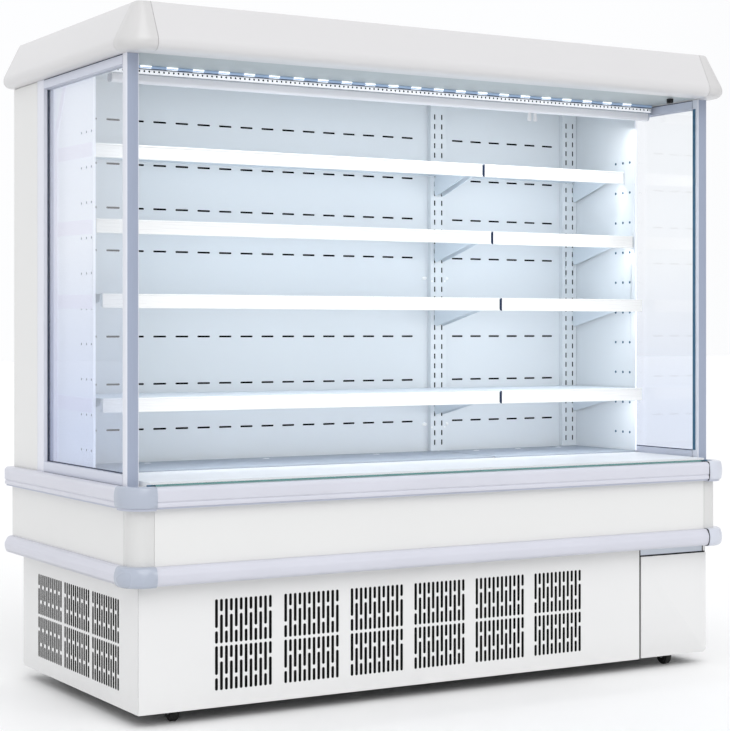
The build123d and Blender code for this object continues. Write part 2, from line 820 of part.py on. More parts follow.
# canopy
def canopy_section(toe_steps):
    """Fascia: top flange, leaning face, toe rounded in steps, lower flange."""
    top = overall_height
    skin = canopy_skin
    toe_x = canopy_overhang - canopy_round
    toe_z = canopy_lip_z + canopy_round
    sweep_angle = math.pi / 2 + lean
    outer = [(flange_u, top), (canopy_head_u, top)]
    for step in range(toe_steps + 1):
        angle = lean - sweep_angle * step / toe_steps
        outer.append((toe_x + canopy_round * math.cos(angle), toe_z + canopy_round * math.sin(angle)))
    outer.append((flange_u, canopy_lip_z))
    outer.append((flange_u, canopy_lip_z + skin))
    outer.append((toe_x, canopy_lip_z + skin))
    outer.append((toe_x + (canopy_round - skin) * math.cos(lean), toe_z))
    inner_head = canopy_head_u - skin / math.cos(lean) + skin * math.tan(lean)
    outer.append((inner_head, top - skin))
    outer.append((flange_u, top - skin))
    return make_face(Polyline(*outer, close=True))


def make_roof():
    """Insulated roof slab with its end rims."""
    x1 = half + flange_u
    y0 = front - flange_u
    slab = block(-x1, x1, y0, rear, slab_bottom, slab_top)
    rim_in = liner_x + liner_sheet
    rim = block(-x1, -rim_in, y0, rear, canopy_lip_z + canopy_skin, slab_bottom)
    return slab + rim + mirrored(rim)


def make_soffit():
    """Flat underside between the fascia and the header."""
    x1 = liner_x + liner_sheet
    z = canopy_lip_z + canopy_skin
    y1 = front + header_front_y
    sheet_part = block(-x1, x1, front - soffit_lap, y1, z, z + sheet)
    upstand = block(-x1, x1, y1 - sheet, y1, z + sheet, slab_bottom)
    return sheet_part + upstand


# end windows
def make_glass_frame():
    """Left end window frame: post, rails and rear stile with a glazing groove."""
    x0 = -half - glass_frame_out
    x1 = x0 + glass_frame_width
    y0 = window_front
    y1 = window_rear
    z0 = tub_rim_z
    z1 = canopy_lip_z
    post = block(x0, x1, y0, y0 + post_depth, z0, z1)
    post = chamfer(post.edges().filter_by(Axis.Z).sort_by(Axis.Y)[:2], post_bevel)
    stile = block(x0, x1, y1 - stile_depth, y1, z0, z1)
    low_rail = block(x0, x1, y0 + post_depth, y1 - stile_depth, z0, z0 + bottom_rail_height)
    top_rail = block(x0, x1, y0 + post_depth, y1 - stile_depth, z1 - top_rail_height, z1)
    groove = pane_groove()
    return [piece - groove for piece in (post, stile, low_rail, top_rail)]


def pane_groove():
    """Space that the pane and its play take in the left frame."""
    xm = -half - glass_frame_out + glass_frame_width / 2
    bite = pane_bite + pane_play
    return block(xm - pane / 2, xm + pane / 2,
                 window_front + post_depth - bite, window_rear - stile_depth + bite,
                 tub_rim_z + bottom_rail_height - bite, canopy_lip_z - top_rail_height + bite)


def make_side_glass():
    """Left end pane, seated on the bottom of its groove."""
    xm = -half - glass_frame_out + glass_frame_width / 2
    bite = pane_bite
    low_bite = pane_bite + pane_play
    return block(xm - pane / 2, xm + pane / 2,
                 window_front + post_depth - bite, window_rear - stile_depth + bite,
                 tub_rim_z + bottom_rail_height - low_bite, canopy_lip_z - top_rail_height + bite)


# inside
def make_side_liner():
    """Left inner side sheet with a folded front edge."""
    x0 = -liner_x - liner_sheet
    y0 = front + side_liner_front
    side = block(x0, -liner_x, y0, back_panel, deck_z, ceiling_z)
    frame_in = -half - glass_frame_out + glass_frame_width
    return side + block(frame_in, x0, y0, y0 + liner_sheet, deck_z, canopy_lip_z)


def make_back_panels():
    """Perforated back sheets of the two bays, meeting behind the centre upright."""
    z0 = tub_rim_z
    split = upright_offset
    left = block(-liner_x - liner_sheet, split, back_panel, back_panel + liner_sheet, z0, ceiling_z)
    right = block(split, liner_x + liner_sheet, back_panel, back_panel + liner_sheet, z0, ceiling_z)
    return [left, right]


def upright_centres():
    """Left, centre and right shelf uprights."""
    side = liner_x - upright_width / 2 - liner_play
    return [-side, upright_offset, side]


def make_uprights():
    """Channel uprights at both ends and between the bays."""
    pieces = []
    y1 = back_panel
    y0 = y1 - upright_depth
    for x in upright_centres():
        w = upright_width / 2
        channel = block(x - w, x + w, y0, y1, deck_z, ceiling_z)
        channel -= block(x - w + sheet, x + w - sheet, y0 + sheet, y1 + 1, deck_z - 1, ceiling_z + 1)
        pieces.append(channel)
    return pieces


def bay_limits():
    """X limits of the left and the right bay."""
    return [(-liner_x + shelf_side_gap, upright_offset - bay_gap / 2),
            (upright_offset + bay_gap / 2, liner_x - shelf_side_gap)]


def make_shelves(z, front_y):
    """The two decks of one level: top sheet with folded front and rear edges."""
    y0 = front + front_y + price_rail_depth
    fold = z - price_rail_height + shelf_fold_gap
    path = [(shelf_rear, z - shelf_rear_fold), (shelf_rear, z), (y0, z), (y0, fold),
            (y0 + shelf_return, fold)]
    section = folded(path, liner_sheet, side=Side.LEFT)
    return [extrude_x(section, x0, x1) for x0, x1 in bay_limits()]


def make_price_rails(z, front_y):
    """White ticket rails on the front edges of one level."""
    y1 = front + front_y + price_rail_depth
    y0 = y1 - price_rail_depth
    low = z - price_rail_height
    lip = price_rail_lip
    bed = y0 + price_rail_recess
    points = [(y1, z), (y0, z), (y0, z - lip), (bed, z - lip), (bed, low + lip),
              (y0, low + lip), (y0, low), (y1, low)]
    section = make_face(Polyline(*points, close=True))
    return [extrude_x(section, x0, x1) for x0, x1 in bay_limits()]


def make_brackets(z, front_y):
    """Four tapered bracket arms that bear on the uprights at one level."""
    y1 = back_panel - upright_depth
    y0 = front + front_y + price_rail_depth + bracket_set_back
    top = z - liner_sheet
    arm = make_face(Polyline((y1, top), (y0, top), (y0, top - bracket_tip),
                             (y1, top - bracket_root), close=True))
    notch = shelf_rear - bracket_notch_reach
    arm -= make_face(Polyline((notch, top + 1), (y1 + 1, top + 1), (y1 + 1, top - bracket_notch),
                              (notch, top - bracket_notch), close=True))
    arms = []
    for x0, x1 in bay_limits():
        for x in (x0 + bracket_inset, x1 - bracket_inset - bracket_plate):
            arms.append(extrude_x(arm, x, x + bracket_plate))
    return arms


def make_deck_pans():
    """Bottom deck of both bays, with folded front edges."""
    y0 = front + deck_front_y
    y1 = back_panel - upright_depth - liner_play
    path = [(y1, deck_z), (y0, deck_z), (y0, deck_z - deck_fold)]
    section = folded(path, liner_sheet, side=Side.LEFT)
    return [extrude_x(section, x0, x1) for x0, x1 in bay_limits()]


def make_return_grille():
    """Front deck cover with the air return slots."""
    y0 = front - tub_out + pane + panel_seam
    y1 = front + deck_front_y - cover_gap
    x1 = half - glass_frame_out
    top = deck_z - cover_drop
    length = 2 * x1 / (grille_slot_count + 0.5)
    face = Pos(0, (y0 + y1) / 2) * Rectangle(2 * x1, y1 - y0)
    for index in range(grille_slot_count):
        x = (index - (grille_slot_count - 1) / 2) * length
        slot = Rectangle(length - return_slot_gap, return_slot_width)
        face -= Pos(x, y1 - return_slot_set_in) * slot
    cover = Pos(0, 0, top - liner_sheet) * extrude(face, liner_sheet)
    cover += block(-x1, x1, y0, y0 + liner_sheet, tub_rim_z, top)
    cover += block(-x1, x1, y1 - liner_sheet, y1, tub_rim_z, top)
    return cover


# header and blind
def make_ceiling():
    """Inner ceiling with the header lip, blind slot and roller brackets."""
    y0 = front + header_front_y
    x1 = liner_x - liner_play
    path = [(y0 + header_lip, header_lip_z), (y0, header_lip_z), (y0, ceiling_z + liner_sheet),
            (back_panel + liner_sheet, ceiling_z + liner_sheet)]
    section = folded(path, liner_sheet, side=Side.RIGHT)
    ceiling = extrude_x(section, -x1, x1)
    slot_x = half - blind_end_gap - blind_slot_inset
    yb = front + blind_y
    ceiling -= block(-slot_x, slot_x, yb - blind_slot_half, yb + blind_slot_half,
                     ceiling_z - 1, ceiling_z + liner_sheet + 1)
    reach = roller_r + roller_tab_wall
    tab_half = roller_tab / 2
    for sign in (-1, 1):
        tab_x = sign * (half - blind_end_gap - roller_tab_inset)
        tab = block(tab_x - tab_half, tab_x + tab_half, roller_y - reach, roller_y + reach,
                    ceiling_z + liner_sheet / 2, roller_z + reach)
        tab -= rod(roller_r + running_clearance, (tab_x - roller_tab, roller_y, roller_z),
                   (tab_x + roller_tab, roller_y, roller_z))
        ceiling += tab
    return ceiling


def make_roller():
    """Spring roller with the wound part of the blind, turning in its brackets."""
    x1 = half - blind_end_gap - roller_inset
    return rod(roller_r, (-x1, roller_y, roller_z), (x1, roller_y, roller_z))


def make_blind_cloth():
    """Free part of the blind between the roller and the pull bar."""
    x1 = half - blind_end_gap - cloth_inset
    y = front + blind_y
    return block(-x1, x1, y - blind_cloth / 2, y + blind_cloth / 2, bar_top, roller_z)


def make_blind_bar():
    """Bevelled pull bar of the blind with its two pull tabs."""
    x1 = half - blind_end_gap
    y = front + blind_y
    face = Rectangle(blind_bar_depth, blind_bar_height)
    section = Pos(y, (bar_top + bar_low) / 2) * chamfer(face.vertices(), blind_bar_bevel)
    bar = extrude_x(section, -x1, x1)
    for sign in (-1, 1):
        x = knob_offset + sign * knob_spread / 2
        knob = block(x - knob_r, x + knob_r, y - knob_r, y + knob_r, bar_low - knob_height, bar_low)
        bar += chamfer(knob.edges().group_by(Axis.Z)[0], knob_r / 2)
    return bar


def make_air_header():
    """Air outlet duct under the ceiling, open above."""
    x1 = liner_x - header_end_gap
    y0 = front + header_duct_front
    y1 = y0 + header_duct_depth
    low = header_lip_z + header_duct_rise
    section = folded([(y0, ceiling_z), (y0, low), (y1, low), (y1, ceiling_z)], liner_sheet,
                     side=Side.LEFT)
    return extrude_x(section, -x1, x1)


def make_led_strip():
    """Light strip on the front face of the header lip."""
    x1 = liner_x - header_end_gap
    y1 = front + header_front_y
    z1 = canopy_lip_z + canopy_skin
    cut = led_height / 5
    points = [(y1, z1), (y1 - led_depth + cut, z1), (y1 - led_depth, z1 - cut),
              (y1 - led_depth, z1 - led_height + cut), (y1 - cut, z1 - led_height),
              (y1, z1 - led_height)]
    return extrude_x(make_face(Polyline(*points, close=True)), -x1, x1)


# evaporator
def make_evaporator():
    """Evaporator coil in the tub: finned core and end plates."""
    z0 = tub_inner_floor
    x1 = coil_length / 2
    y1 = coil_front + coil_depth
    x2 = x1 + end_plate
    top = z0 + coil_height
    core = block(-x1, x1, coil_front, y1, z0 + coil_foot, top)
    plates = [block(-x2, -x1, coil_front, y1, z0, top + end_plate),
              block(x1, x2, coil_front, y1, z0, top + end_plate)]
    return [core] + plates


def fan_places():
    """Centres of the two evaporator fans."""
    zc = tub_inner_floor + evap_fan_r + evap_fan_rise
    return [(-evap_fan_spread / 2, zc), (evap_fan_spread / 2, zc)]


def make_fan_plate():
    """Evaporator fan plate with two mouths and the straps that carry the fans."""
    y0 = front + fan_plate_y
    z0 = tub_inner_floor
    z1 = deck_z - fan_plate_drop
    x1 = tub_inner_x - liner_play
    plate = block(-x1, x1, y0, y0 + sheet, z0, z1)
    strap_y = y0 - evap_strap_reach
    wide = evap_strap_width / 2
    for x, zc in fan_places():
        plate -= rod(evap_fan_r + fan_tip_gap, (x, y0 - 1, zc), (x, y0 + sheet + 1, zc))
        plate += block(x - wide, x + wide, strap_y, strap_y + sheet, z0, zc + evap_hub_r)
        plate += block(x - wide, x + wide, strap_y, y0, z0, z0 + sheet)
    return plate


def make_evap_fan(x, zc):
    """Evaporator fan in its mouth, its rotor on the strap."""
    depth = evap_strap_reach - evap_hub_short
    fan = make_fan(evap_fan_r, evap_hub_r, depth, evap_blades)
    fan = Rot(0, 0, 180) * fan
    strap_face = front + fan_plate_y - evap_strap_reach + sheet
    return Pos(x, strap_face + seat_gap + depth, zc) * fan


# all pieces
keep("base_frame", make_frame())
keep("machine_tray", make_tray())
keep("front_grille_panel", make_front_grille())
keep("left_grille_panel", make_left_grille())
keep("right_end_panel", make_right_end())
keep("rear_cover", make_rear_cover())
keep("door_frame", make_door_frame())
keep("service_door", make_door())
for number, (x, y) in enumerate(castor_places(), start=1):
    keep(f"castor_fork_{number}", make_fork(x, y))
    keep(f"castor_wheel_{number}", make_wheel(x, y))

keep("compressor", make_compressor())
keep("condenser_coil", make_condenser())
keep("fan_shroud", make_shroud())
keep("condenser_fan", make_condenser_fan())
keep("drain_pan", make_drain_pan())
keep("electrical_box", make_electrical_box())

keep("insulated_tub", make_tub())
keep("front_glass_riser", make_riser())
keep("band_panels", three_sides(band_section()))
keep("band_corner_covers", both_ends(left_corner(band_section())))
keep("lower_bumper", three_sides(lower_bumper_section()))
keep("upper_bumper", three_sides(upper_bumper_section()))
low_cap = cap_section(lower_bumper_z, lower_bumper_z + lower_bumper_height)
high_cap = cap_section(upper_bumper_z, upper_bumper_z + upper_bumper_height + cap_rise)
caps = both_ends(left_corner(low_cap)) + both_ends(left_corner(high_cap))
keep("bumper_corner_caps", caps)
keep("rear_wall", make_rear_wall())
keep("rear_columns", make_rear_columns())

fascia = canopy_section(canopy_toe_steps)
keep("canopy_front", along_front(fascia, -rail_x, rail_x))
keep("canopy_ends", both_ends(along_left(fascia, rail_y, rear)))
keep("canopy_corners", both_ends(left_corner(fascia)))
keep("roof_panel", make_roof())
keep("soffit_panel", make_soffit())

left_frame = make_glass_frame()
keep("glass_frame_left", left_frame)
keep("glass_frame_right", [mirrored(piece) for piece in left_frame])
keep("side_glass", both_ends(make_side_glass()))

keep("side_liners", both_ends(make_side_liner()))
keep("back_panels", make_back_panels())
keep("uprights", make_uprights())
rails = []
brackets = []
for level, (z, front_y) in enumerate(zip(shelf_heights, shelf_front_ys), start=1):
    keep(f"shelf_{level}", make_shelves(z, front_y))
    rails += make_price_rails(z, front_y)
    brackets += make_brackets(z, front_y)
keep("price_rails", rails)
keep("shelf_brackets", brackets)
keep("deck_pans", make_deck_pans())
keep("return_grille", make_return_grille())

keep("ceiling_panel", make_ceiling())
keep("air_header", make_air_header())
keep("led_strip", make_led_strip())
keep("blind_roller", make_roller())
keep("blind_cloth", make_blind_cloth())
keep("blind_bar", make_blind_bar())

keep("evaporator_coil", make_evaporator())
keep("evaporator_fan_plate", make_fan_plate())
for side, (x, zc) in zip(("left", "right"), fan_places()):
    keep(f"evaporator_fan_{side}", make_evap_fan(x, zc))

os.makedirs("parts", exist_ok=True)
for name, shape in nodes.items():
    export_step(shape, f"parts/{name}.step")
print(len(nodes), "pieces written")
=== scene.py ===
import bpy
import bmesh
import math
from mathutils import Matrix, Vector


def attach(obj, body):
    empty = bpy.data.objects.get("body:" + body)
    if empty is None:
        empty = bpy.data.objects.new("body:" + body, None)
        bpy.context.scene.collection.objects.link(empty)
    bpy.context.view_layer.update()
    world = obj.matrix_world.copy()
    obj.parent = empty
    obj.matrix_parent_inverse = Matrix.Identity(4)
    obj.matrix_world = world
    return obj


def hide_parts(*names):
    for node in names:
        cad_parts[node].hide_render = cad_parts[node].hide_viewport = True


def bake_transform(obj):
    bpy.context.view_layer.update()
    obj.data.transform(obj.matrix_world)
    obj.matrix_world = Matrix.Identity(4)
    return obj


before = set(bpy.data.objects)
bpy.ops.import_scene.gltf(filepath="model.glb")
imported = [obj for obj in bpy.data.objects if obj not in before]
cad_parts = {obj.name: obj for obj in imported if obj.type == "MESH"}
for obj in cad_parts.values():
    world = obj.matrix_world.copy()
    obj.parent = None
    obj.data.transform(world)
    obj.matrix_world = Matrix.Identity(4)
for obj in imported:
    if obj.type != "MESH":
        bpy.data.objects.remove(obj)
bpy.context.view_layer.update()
scene = bpy.context.scene
scene.view_settings.view_transform = "Standard"
scene.view_settings.look = "None"
print("frame loaded")

# main planes of the cabinet, in millimetres
cabinet = {
    "half": 1013.5, "front": -435.0, "rear": 495.0, "baseRear": 475.0,
    "skirt": 37.0, "baseTop": 392.0, "rimTop": 665.0, "canopyLip": 1862.0,
    "top": 2005.0, "cornerInset": 15.0, "cornerReach": 35.0,
    "deck": 683.0, "ceiling": 1883.0, "backPanel": 265.0, "linerIn": 20.0, "split": 400.5,
}
half = cabinet["half"]
front = cabinet["front"]
rear = cabinet["rear"]
cornerX = half - cabinet["cornerInset"]
cornerY = front + cabinet["cornerInset"]
railX = half - cabinet["cornerReach"]
railY = front + cabinet["cornerReach"]
linerX = half - cabinet["linerIn"]
backPanel = cabinet["backPanel"]

# the camera stands where the photograph was taken from
studio = {
    "eye": (-3.0391, -5.1175, 1.0924), "turn": -30.4, "lens": 90.81, "drop": -0.0458,
    "sky": (0.985, 0.99, 1.0), "skyStrength": 1.0, "dimSide": (0.86, -0.5, -0.05), "dimShare": 0.62,
    "keyStrength": 1.15, "keyFrom": (-0.12, -1.0, 0.95), "keySpread": 50,
    "glowMiddle": 0.04, "glowWide": 1.88, "glowColour": (0.97, 0.985, 1.0), "headerGlow": 2.8,
    # this one stands behind the blind, so that it doesn't burn the lowered cloth
    "rightGlow": 0.6, "rightPlace": (0.62, -0.12, 1.2), "rightAim": (0.64, 0.26, 1.2),
    "rightSize": (0.48, 1.0),
    # depth, height and power of the glow under each shelf's edge
    "shelves": ((-0.035, 1.650, 1.2), (-0.085, 1.424, 1.5), (-0.135, 1.204, 1.4), (-0.135, 0.900, 2.0)),
}


def makeCamera():
    data = bpy.data.cameras.new("photoCamera")
    data.lens = studio["lens"]
    data.shift_y = studio["drop"]
    data.clip_start = 0.1
    data.clip_end = 200
    camera = bpy.data.objects.new("photoCamera", data)
    camera.location = studio["eye"]
    camera.rotation_euler = (math.radians(90), 0, math.radians(studio["turn"]))
    scene.collection.objects.link(camera)
    scene.camera = camera


def softLight(name, place, target, wide, tall, power):
    data = bpy.data.lights.new(name, "AREA")
    data.shape = "RECTANGLE"
    data.size = wide
    data.size_y = tall
    data.energy = power
    data.color = studio["glowColour"]
    lamp = bpy.data.objects.new(name, data)
    lamp.location = place
    lamp.rotation_euler = (Vector(target) - Vector(place)).to_track_quat("-Z", "Y").to_euler()
    lamp.visible_camera = False
    lamp.visible_glossy = False
    scene.collection.objects.link(lamp)


def makeStudio():
    world = bpy.data.worlds.new("paleStudio")
    world.use_nodes = True
    nodes, links = world.node_tree.nodes, world.node_tree.links
    sky = nodes["Background"]
    sky.inputs["Strength"].default_value = studio["skyStrength"]
    # pale all round, dimmer towards one side so that rounded forms read
    around = nodes.new("ShaderNodeTexCoord")
    facing = nodes.new("ShaderNodeVectorMath")
    facing.operation = "DOT_PRODUCT"
    facing.inputs[1].default_value = Vector(studio["dimSide"]).normalized()
    links.new(around.outputs["Generated"], facing.inputs[0])
    share = nodes.new("ShaderNodeMapRange")
    share.interpolation_type = "SMOOTHSTEP"
    share.inputs["From Min"].default_value = 0.1
    share.inputs["From Max"].default_value = 0.95
    links.new(facing.outputs["Value"], share.inputs["Value"])
    tone = nodes.new("ShaderNodeMix")
    tone.data_type = "RGBA"
    links.new(share.outputs["Result"], tone.inputs["Factor"])
    tone.inputs[6].default_value = (*studio["sky"], 1)
    tone.inputs[7].default_value = (*(channel * studio["dimShare"] for channel in studio["sky"]), 1)
    links.new(tone.outputs[2], sky.inputs["Color"])
    scene.world = world
    key = bpy.data.lights.new("keyLight", "SUN")
    key.energy = studio["keyStrength"]
    key.angle = math.radians(studio["keySpread"])
    lamp = bpy.data.objects.new("keyLight", key)
    lamp.rotation_euler = (-Vector(studio["keyFrom"])).to_track_quat("-Z", "Y").to_euler()
    scene.collection.objects.link(lamp)
    x, wide = studio["glowMiddle"], studio["glowWide"]
    softLight("headerGlow", (x, -0.11, 1.79), (x, 0.06, 1.3), wide, 0.05, studio["headerGlow"])
    softLight("rightGlow", studio["rightPlace"], studio["rightAim"], *studio["rightSize"],
              studio["rightGlow"])
    for level, (y, z, power) in enumerate(studio["shelves"], start=1):
        softLight(f"shelfGlow{level}", (x, y, z - 0.052), (x, 0.2, z - 0.25), wide, 0.03, power)


makeCamera()
makeStudio()
print("camera and light set")


def linear(red, green, blue):
    # 0 to 255 display values to shader values
    def one(value):
        value /= 255
        return value / 12.92 if value <= 0.04045 else ((value + 0.055) / 1.055) ** 2.4
    return (one(red), one(green), one(blue))


def shade(colour, share):
    return tuple(channel * share for channel in colour)


class Paint:
    # a principled material with helpers for the nodes that feed it
    def __init__(self, name, colour, rough, metal=0.0, **sockets):
        self.material = bpy.data.materials.new(name)
        self.material.use_nodes = True
        self.tree = self.material.node_tree
        self.shader = self.tree.nodes["Principled BSDF"]
        self.colour = colour
        self.rough = rough
        self.set("Base Color", (*colour, 1))
        self.set("Roughness", rough)
        self.set("Metallic", metal)
        for socket, value in sockets.items():
            self.set(socket.replace("_", " "), value)
        self.place = self.node("ShaderNodeTexCoord").outputs["Object"]

    def node(self, kind, **values):
        made = self.tree.nodes.new(kind)
        for key, value in values.items():
            setattr(made, key, value)
        return made

    def set(self, socket, value):
        self.shader.inputs[socket].default_value = value

    def join(self, start, end):
        self.tree.links.new(start, end)

    def mapped(self, stretch):
        mapping = self.node("ShaderNodeMapping")
        mapping.inputs["Scale"].default_value = stretch
        self.join(self.place, mapping.inputs["Vector"])
        return mapping.outputs["Vector"]

    def noise(self, scale, detail, stretch=(1, 1, 1)):
        noise = self.node("ShaderNodeTexNoise")
        noise.inputs["Scale"].default_value = scale
        noise.inputs["Detail"].default_value = detail
        self.join(self.mapped(stretch), noise.inputs["Vector"])
        return noise.outputs["Fac"]

    def cells(self, scale):
        cells = self.node("ShaderNodeTexVoronoi")
        cells.inputs["Scale"].default_value = scale
        self.join(self.mapped((1, 1, 1)), cells.inputs["Vector"])
        return cells

    def put(self, value, socket):
        # numbers and colours are set, outputs are linked
        if isinstance(value, (int, float)):
            socket.default_value = value
        elif isinstance(value, tuple):
            socket.default_value = (*value, 1)
        else:
            self.join(value, socket)

    def span(self, value, *ends):
        # from low to high, mapped to two new ends
        made = self.node("ShaderNodeMapRange")
        for socket, end in zip(("From Min", "From Max", "To Min", "To Max"), ends):
            made.inputs[socket].default_value = end
        self.join(value, made.inputs["Value"])
        return made.outputs["Result"]

    def maths(self, operation, one, two):
        made = self.node("ShaderNodeMath", operation=operation)
        self.put(one, made.inputs[0])
        self.put(two, made.inputs[1])
        return made.outputs["Value"]

    def mix(self, amount, one, two):
        made = self.node("ShaderNodeMix", data_type="RGBA")
        self.join(amount, made.inputs["Factor"])
        self.put(one, made.inputs[6])
        self.put(two, made.inputs[7])
        return made.outputs[2]

    def tone(self, source, low, high, share):
        # the paint's colour, times share where the source is low
        return self.mix(self.span(source, low, high, 0.0, 1.0), shade(self.colour, share), self.colour)

    def gloss(self, source, low, high, less, more):
        # the paint's roughness, less and more of it where the source is low and high
        self.feed("Roughness", self.span(source, low, high, self.rough - less, self.rough + more))

    def axis(self, letter):
        split = self.node("ShaderNodeSeparateXYZ")
        self.join(self.place, split.inputs["Vector"])
        return split.outputs[letter]

    def bump(self, height, distance, strength=1.0, under=None):
        made = self.node("ShaderNodeBump")
        made.inputs["Distance"].default_value = distance
        made.inputs["Strength"].default_value = strength
        self.join(height, made.inputs["Height"])
        if under is not None:
            self.join(under, made.inputs["Normal"])
        self.join(made.outputs["Normal"], self.shader.inputs["Normal"])
        return made.outputs["Normal"]

    def feed(self, socket, output):
        self.join(output, self.shader.inputs[socket])


def powderCoat(name, colour, rough, peel=0.00012, floorDarkening=0.0):
    # baked coat on sheet metal: fine orange peel, faint drift in tone, mottled darkening near the floor
    paint = Paint(name, colour, rough, Specular_IOR_Level=0.45)
    tone = paint.tone(paint.noise(2.0, 2), 0.15, 0.85, 0.98)
    if floorDarkening:
        near = paint.span(paint.axis("Z"), 0.03, 0.12, floorDarkening, 0.0)
        patch = paint.maths("MULTIPLY", near, paint.span(paint.noise(24, 5), 0.35, 0.7, 0.25, 1.0))
        tone = paint.mix(patch, tone, linear(150, 146, 138))
    paint.feed("Base Color", tone)
    paint.gloss(paint.noise(9, 4), 0.15, 0.85, 0.04, 0.06)
    peelUp = paint.bump(paint.noise(620, 2), peel, 0.5)
    paint.bump(paint.noise(5, 2), 0.0004, 0.15, peelUp)
    return paint.material


def moulded(name, colour, rough, coat=0.0):
    # smooth moulding: slight waves, tiny pits, soft scuffs
    paint = Paint(name, colour, rough, Specular_IOR_Level=0.5, Coat_Weight=coat, Coat_Roughness=0.12)
    paint.feed("Base Color", paint.tone(paint.noise(2.2, 2), 0.15, 0.85, 0.985))
    paint.gloss(paint.noise(5, 2), 0.15, 0.85, 0.02, 0.03)
    low = paint.bump(paint.noise(2.5, 1), 0.0004, 0.05)
    paint.bump(paint.noise(160, 2), 0.00003, 0.25, low)
    return paint.material


def drawnPlastic(name, colour, rough, stretch):
    # profile pushed through a die: hair-fine lines along its run, a few rub marks
    paint = Paint(name, colour, rough, Specular_IOR_Level=0.5, Coat_Weight=0.08, Coat_Roughness=0.2)
    lines = paint.noise(420, 4, stretch)
    rub = paint.span(paint.noise(26, 7, (0.25, 0.25, 3)), 0.62, 0.8, 0.0, 0.35)
    tone = paint.tone(paint.noise(4, 3), 0.35, 0.65, 0.97)
    paint.feed("Base Color", paint.mix(rub, tone, shade(colour, 0.86)))
    even = paint.span(lines, 0.3, 0.7, rough - 0.05, rough + 0.09)
    paint.feed("Roughness", paint.maths("ADD", even, paint.maths("MULTIPLY", rub, 0.3)))
    paint.bump(lines, 0.00009, 0.5)
    return paint.material


def anodised(name, colour, rough, stretch):
    # matt metal with drawing lines along the profile
    paint = Paint(name, colour, rough, 0.3, Specular_IOR_Level=0.5)
    lines = paint.noise(520, 5, stretch)
    paint.feed("Base Color", paint.tone(lines, 0.25, 0.75, 0.94))
    paint.gloss(lines, 0.3, 0.7, 0.05, 0.08)
    paint.bump(lines, 0.00006, 0.5)
    return paint.material


def galvanised(name, colour, rough):
    # spangled zinc
    paint = Paint(name, colour, rough, 0.85)
    grey = paint.node("ShaderNodeRGBToBW")
    paint.join(paint.cells(70).outputs["Color"], grey.inputs["Color"])
    paint.feed("Base Color", paint.mix(grey.outputs["Val"], shade(colour, 0.72), colour))
    paint.gloss(grey.outputs["Val"], 0.0, 1.0, 0.1, 0.12)
    paint.bump(paint.noise(300, 3), 0.0001, 0.4)
    return paint.material


def blackMat(name, colour, rough):
    # open-pored filter mat; the same near-black also serves as painted shade on sheets put behind holes,
    # slots and channels
    paint = Paint(name, colour, rough, Specular_IOR_Level=0.2)
    pores = paint.cells(240).outputs["Distance"]
    paint.feed("Base Color", paint.tone(pores, 0.1, 0.6, 0.3))
    paint.bump(pores, 0.0015, 0.8)
    return paint.material


def rubber(name, colour, rough):
    paint = Paint(name, colour, rough, Specular_IOR_Level=0.35)
    bloom = paint.span(paint.noise(40, 5), 0.4, 0.75, 0.0, 0.35)
    paint.feed("Base Color", paint.mix(bloom, colour, shade(colour, 1.9)))
    paint.gloss(paint.noise(120, 4), 0.3, 0.7, 0.06, 0.1)
    paint.bump(paint.noise(700, 3), 0.00012, 0.5)
    return paint.material


def clearGlass(name, tint, deeper=None, low=0.8, high=1.35):
    # clean pane with a trace of wiping marks, its tint may change between two heights; on the end panes it
    # deepens and blues towards the bottom, painted shade and reflection, on the riser it turns teal along the
    # top edge
    paint = Paint(name, tint, 0.0, Transmission_Weight=1.0, IOR=1.45)
    if deeper:
        drop = paint.span(paint.axis("Z"), low, high, 1.0, 0.0)
        paint.feed("Base Color", paint.mix(drop, tint, deeper))
    paint.feed("Roughness", paint.span(paint.noise(5, 5, (1, 1, 0.4)), 0.45, 0.8, 0.0, 0.04))
    return paint.material


def glowing(name, colour, strength):
    # frosted lens, a little brighter over each chip
    paint = Paint(name, colour, 0.4, Emission_Color=(*colour, 1), Emission_Strength=strength)
    paint.feed("Base Color", paint.tone(paint.noise(40, 2), 0.3, 0.7, 0.9))
    paint.bump(paint.noise(300, 2), 0.0001, 0.3)
    return paint.material


def wovenCloth(name, colour):
    # coated screen cloth: plain weave drawn on its own map, in millimetres
    paint = Paint(name, colour, 0.62, Sheen_Weight=0.25)
    uv = paint.node("ShaderNodeUVMap", uv_map="clothMap").outputs["UV"]
    waves = []
    # the short free cloth is drawn out to sixteen times its length, so its cross threads are drawn finer
    for direction, scale in (("X", 0.35), ("Y", 5.6)):
        wave = paint.node("ShaderNodeTexWave", wave_type="BANDS", bands_direction=direction)
        wave.inputs["Scale"].default_value = scale
        wave.inputs["Distortion"].default_value = 0.6
        paint.join(uv, wave.inputs["Vector"])
        waves.append(wave.outputs["Fac"])
    weave = paint.maths("MULTIPLY", *waves)
    paint.feed("Base Color", paint.mix(weave, shade(colour, 0.86), colour))
    paint.feed("Roughness", paint.span(weave, 0.0, 1.0, 0.72, 0.55))
    paint.bump(weave, 0.0003, 0.6)
    return paint.material


def paintedGlowPlastic(name, colour, strength):
    # white plastic of the ticket rails and liners with a painted glow: its emission is painted light,
    # standing in for the lamps' light passing through it
    paint = Paint(name, colour, 0.28, Specular_IOR_Level=0.5, Coat_Weight=0.15,
                  Emission_Color=(*colour, 1), Emission_Strength=strength)
    lines = paint.noise(300, 4, (0.03, 1, 1))
    paint.feed("Base Color", paint.tone(lines, 0.3, 0.7, 0.975))
    paint.feed("Roughness", paint.span(lines, 0.3, 0.7, 0.24, 0.34))
    paint.bump(lines, 0.00008, 0.4)
    return paint.material


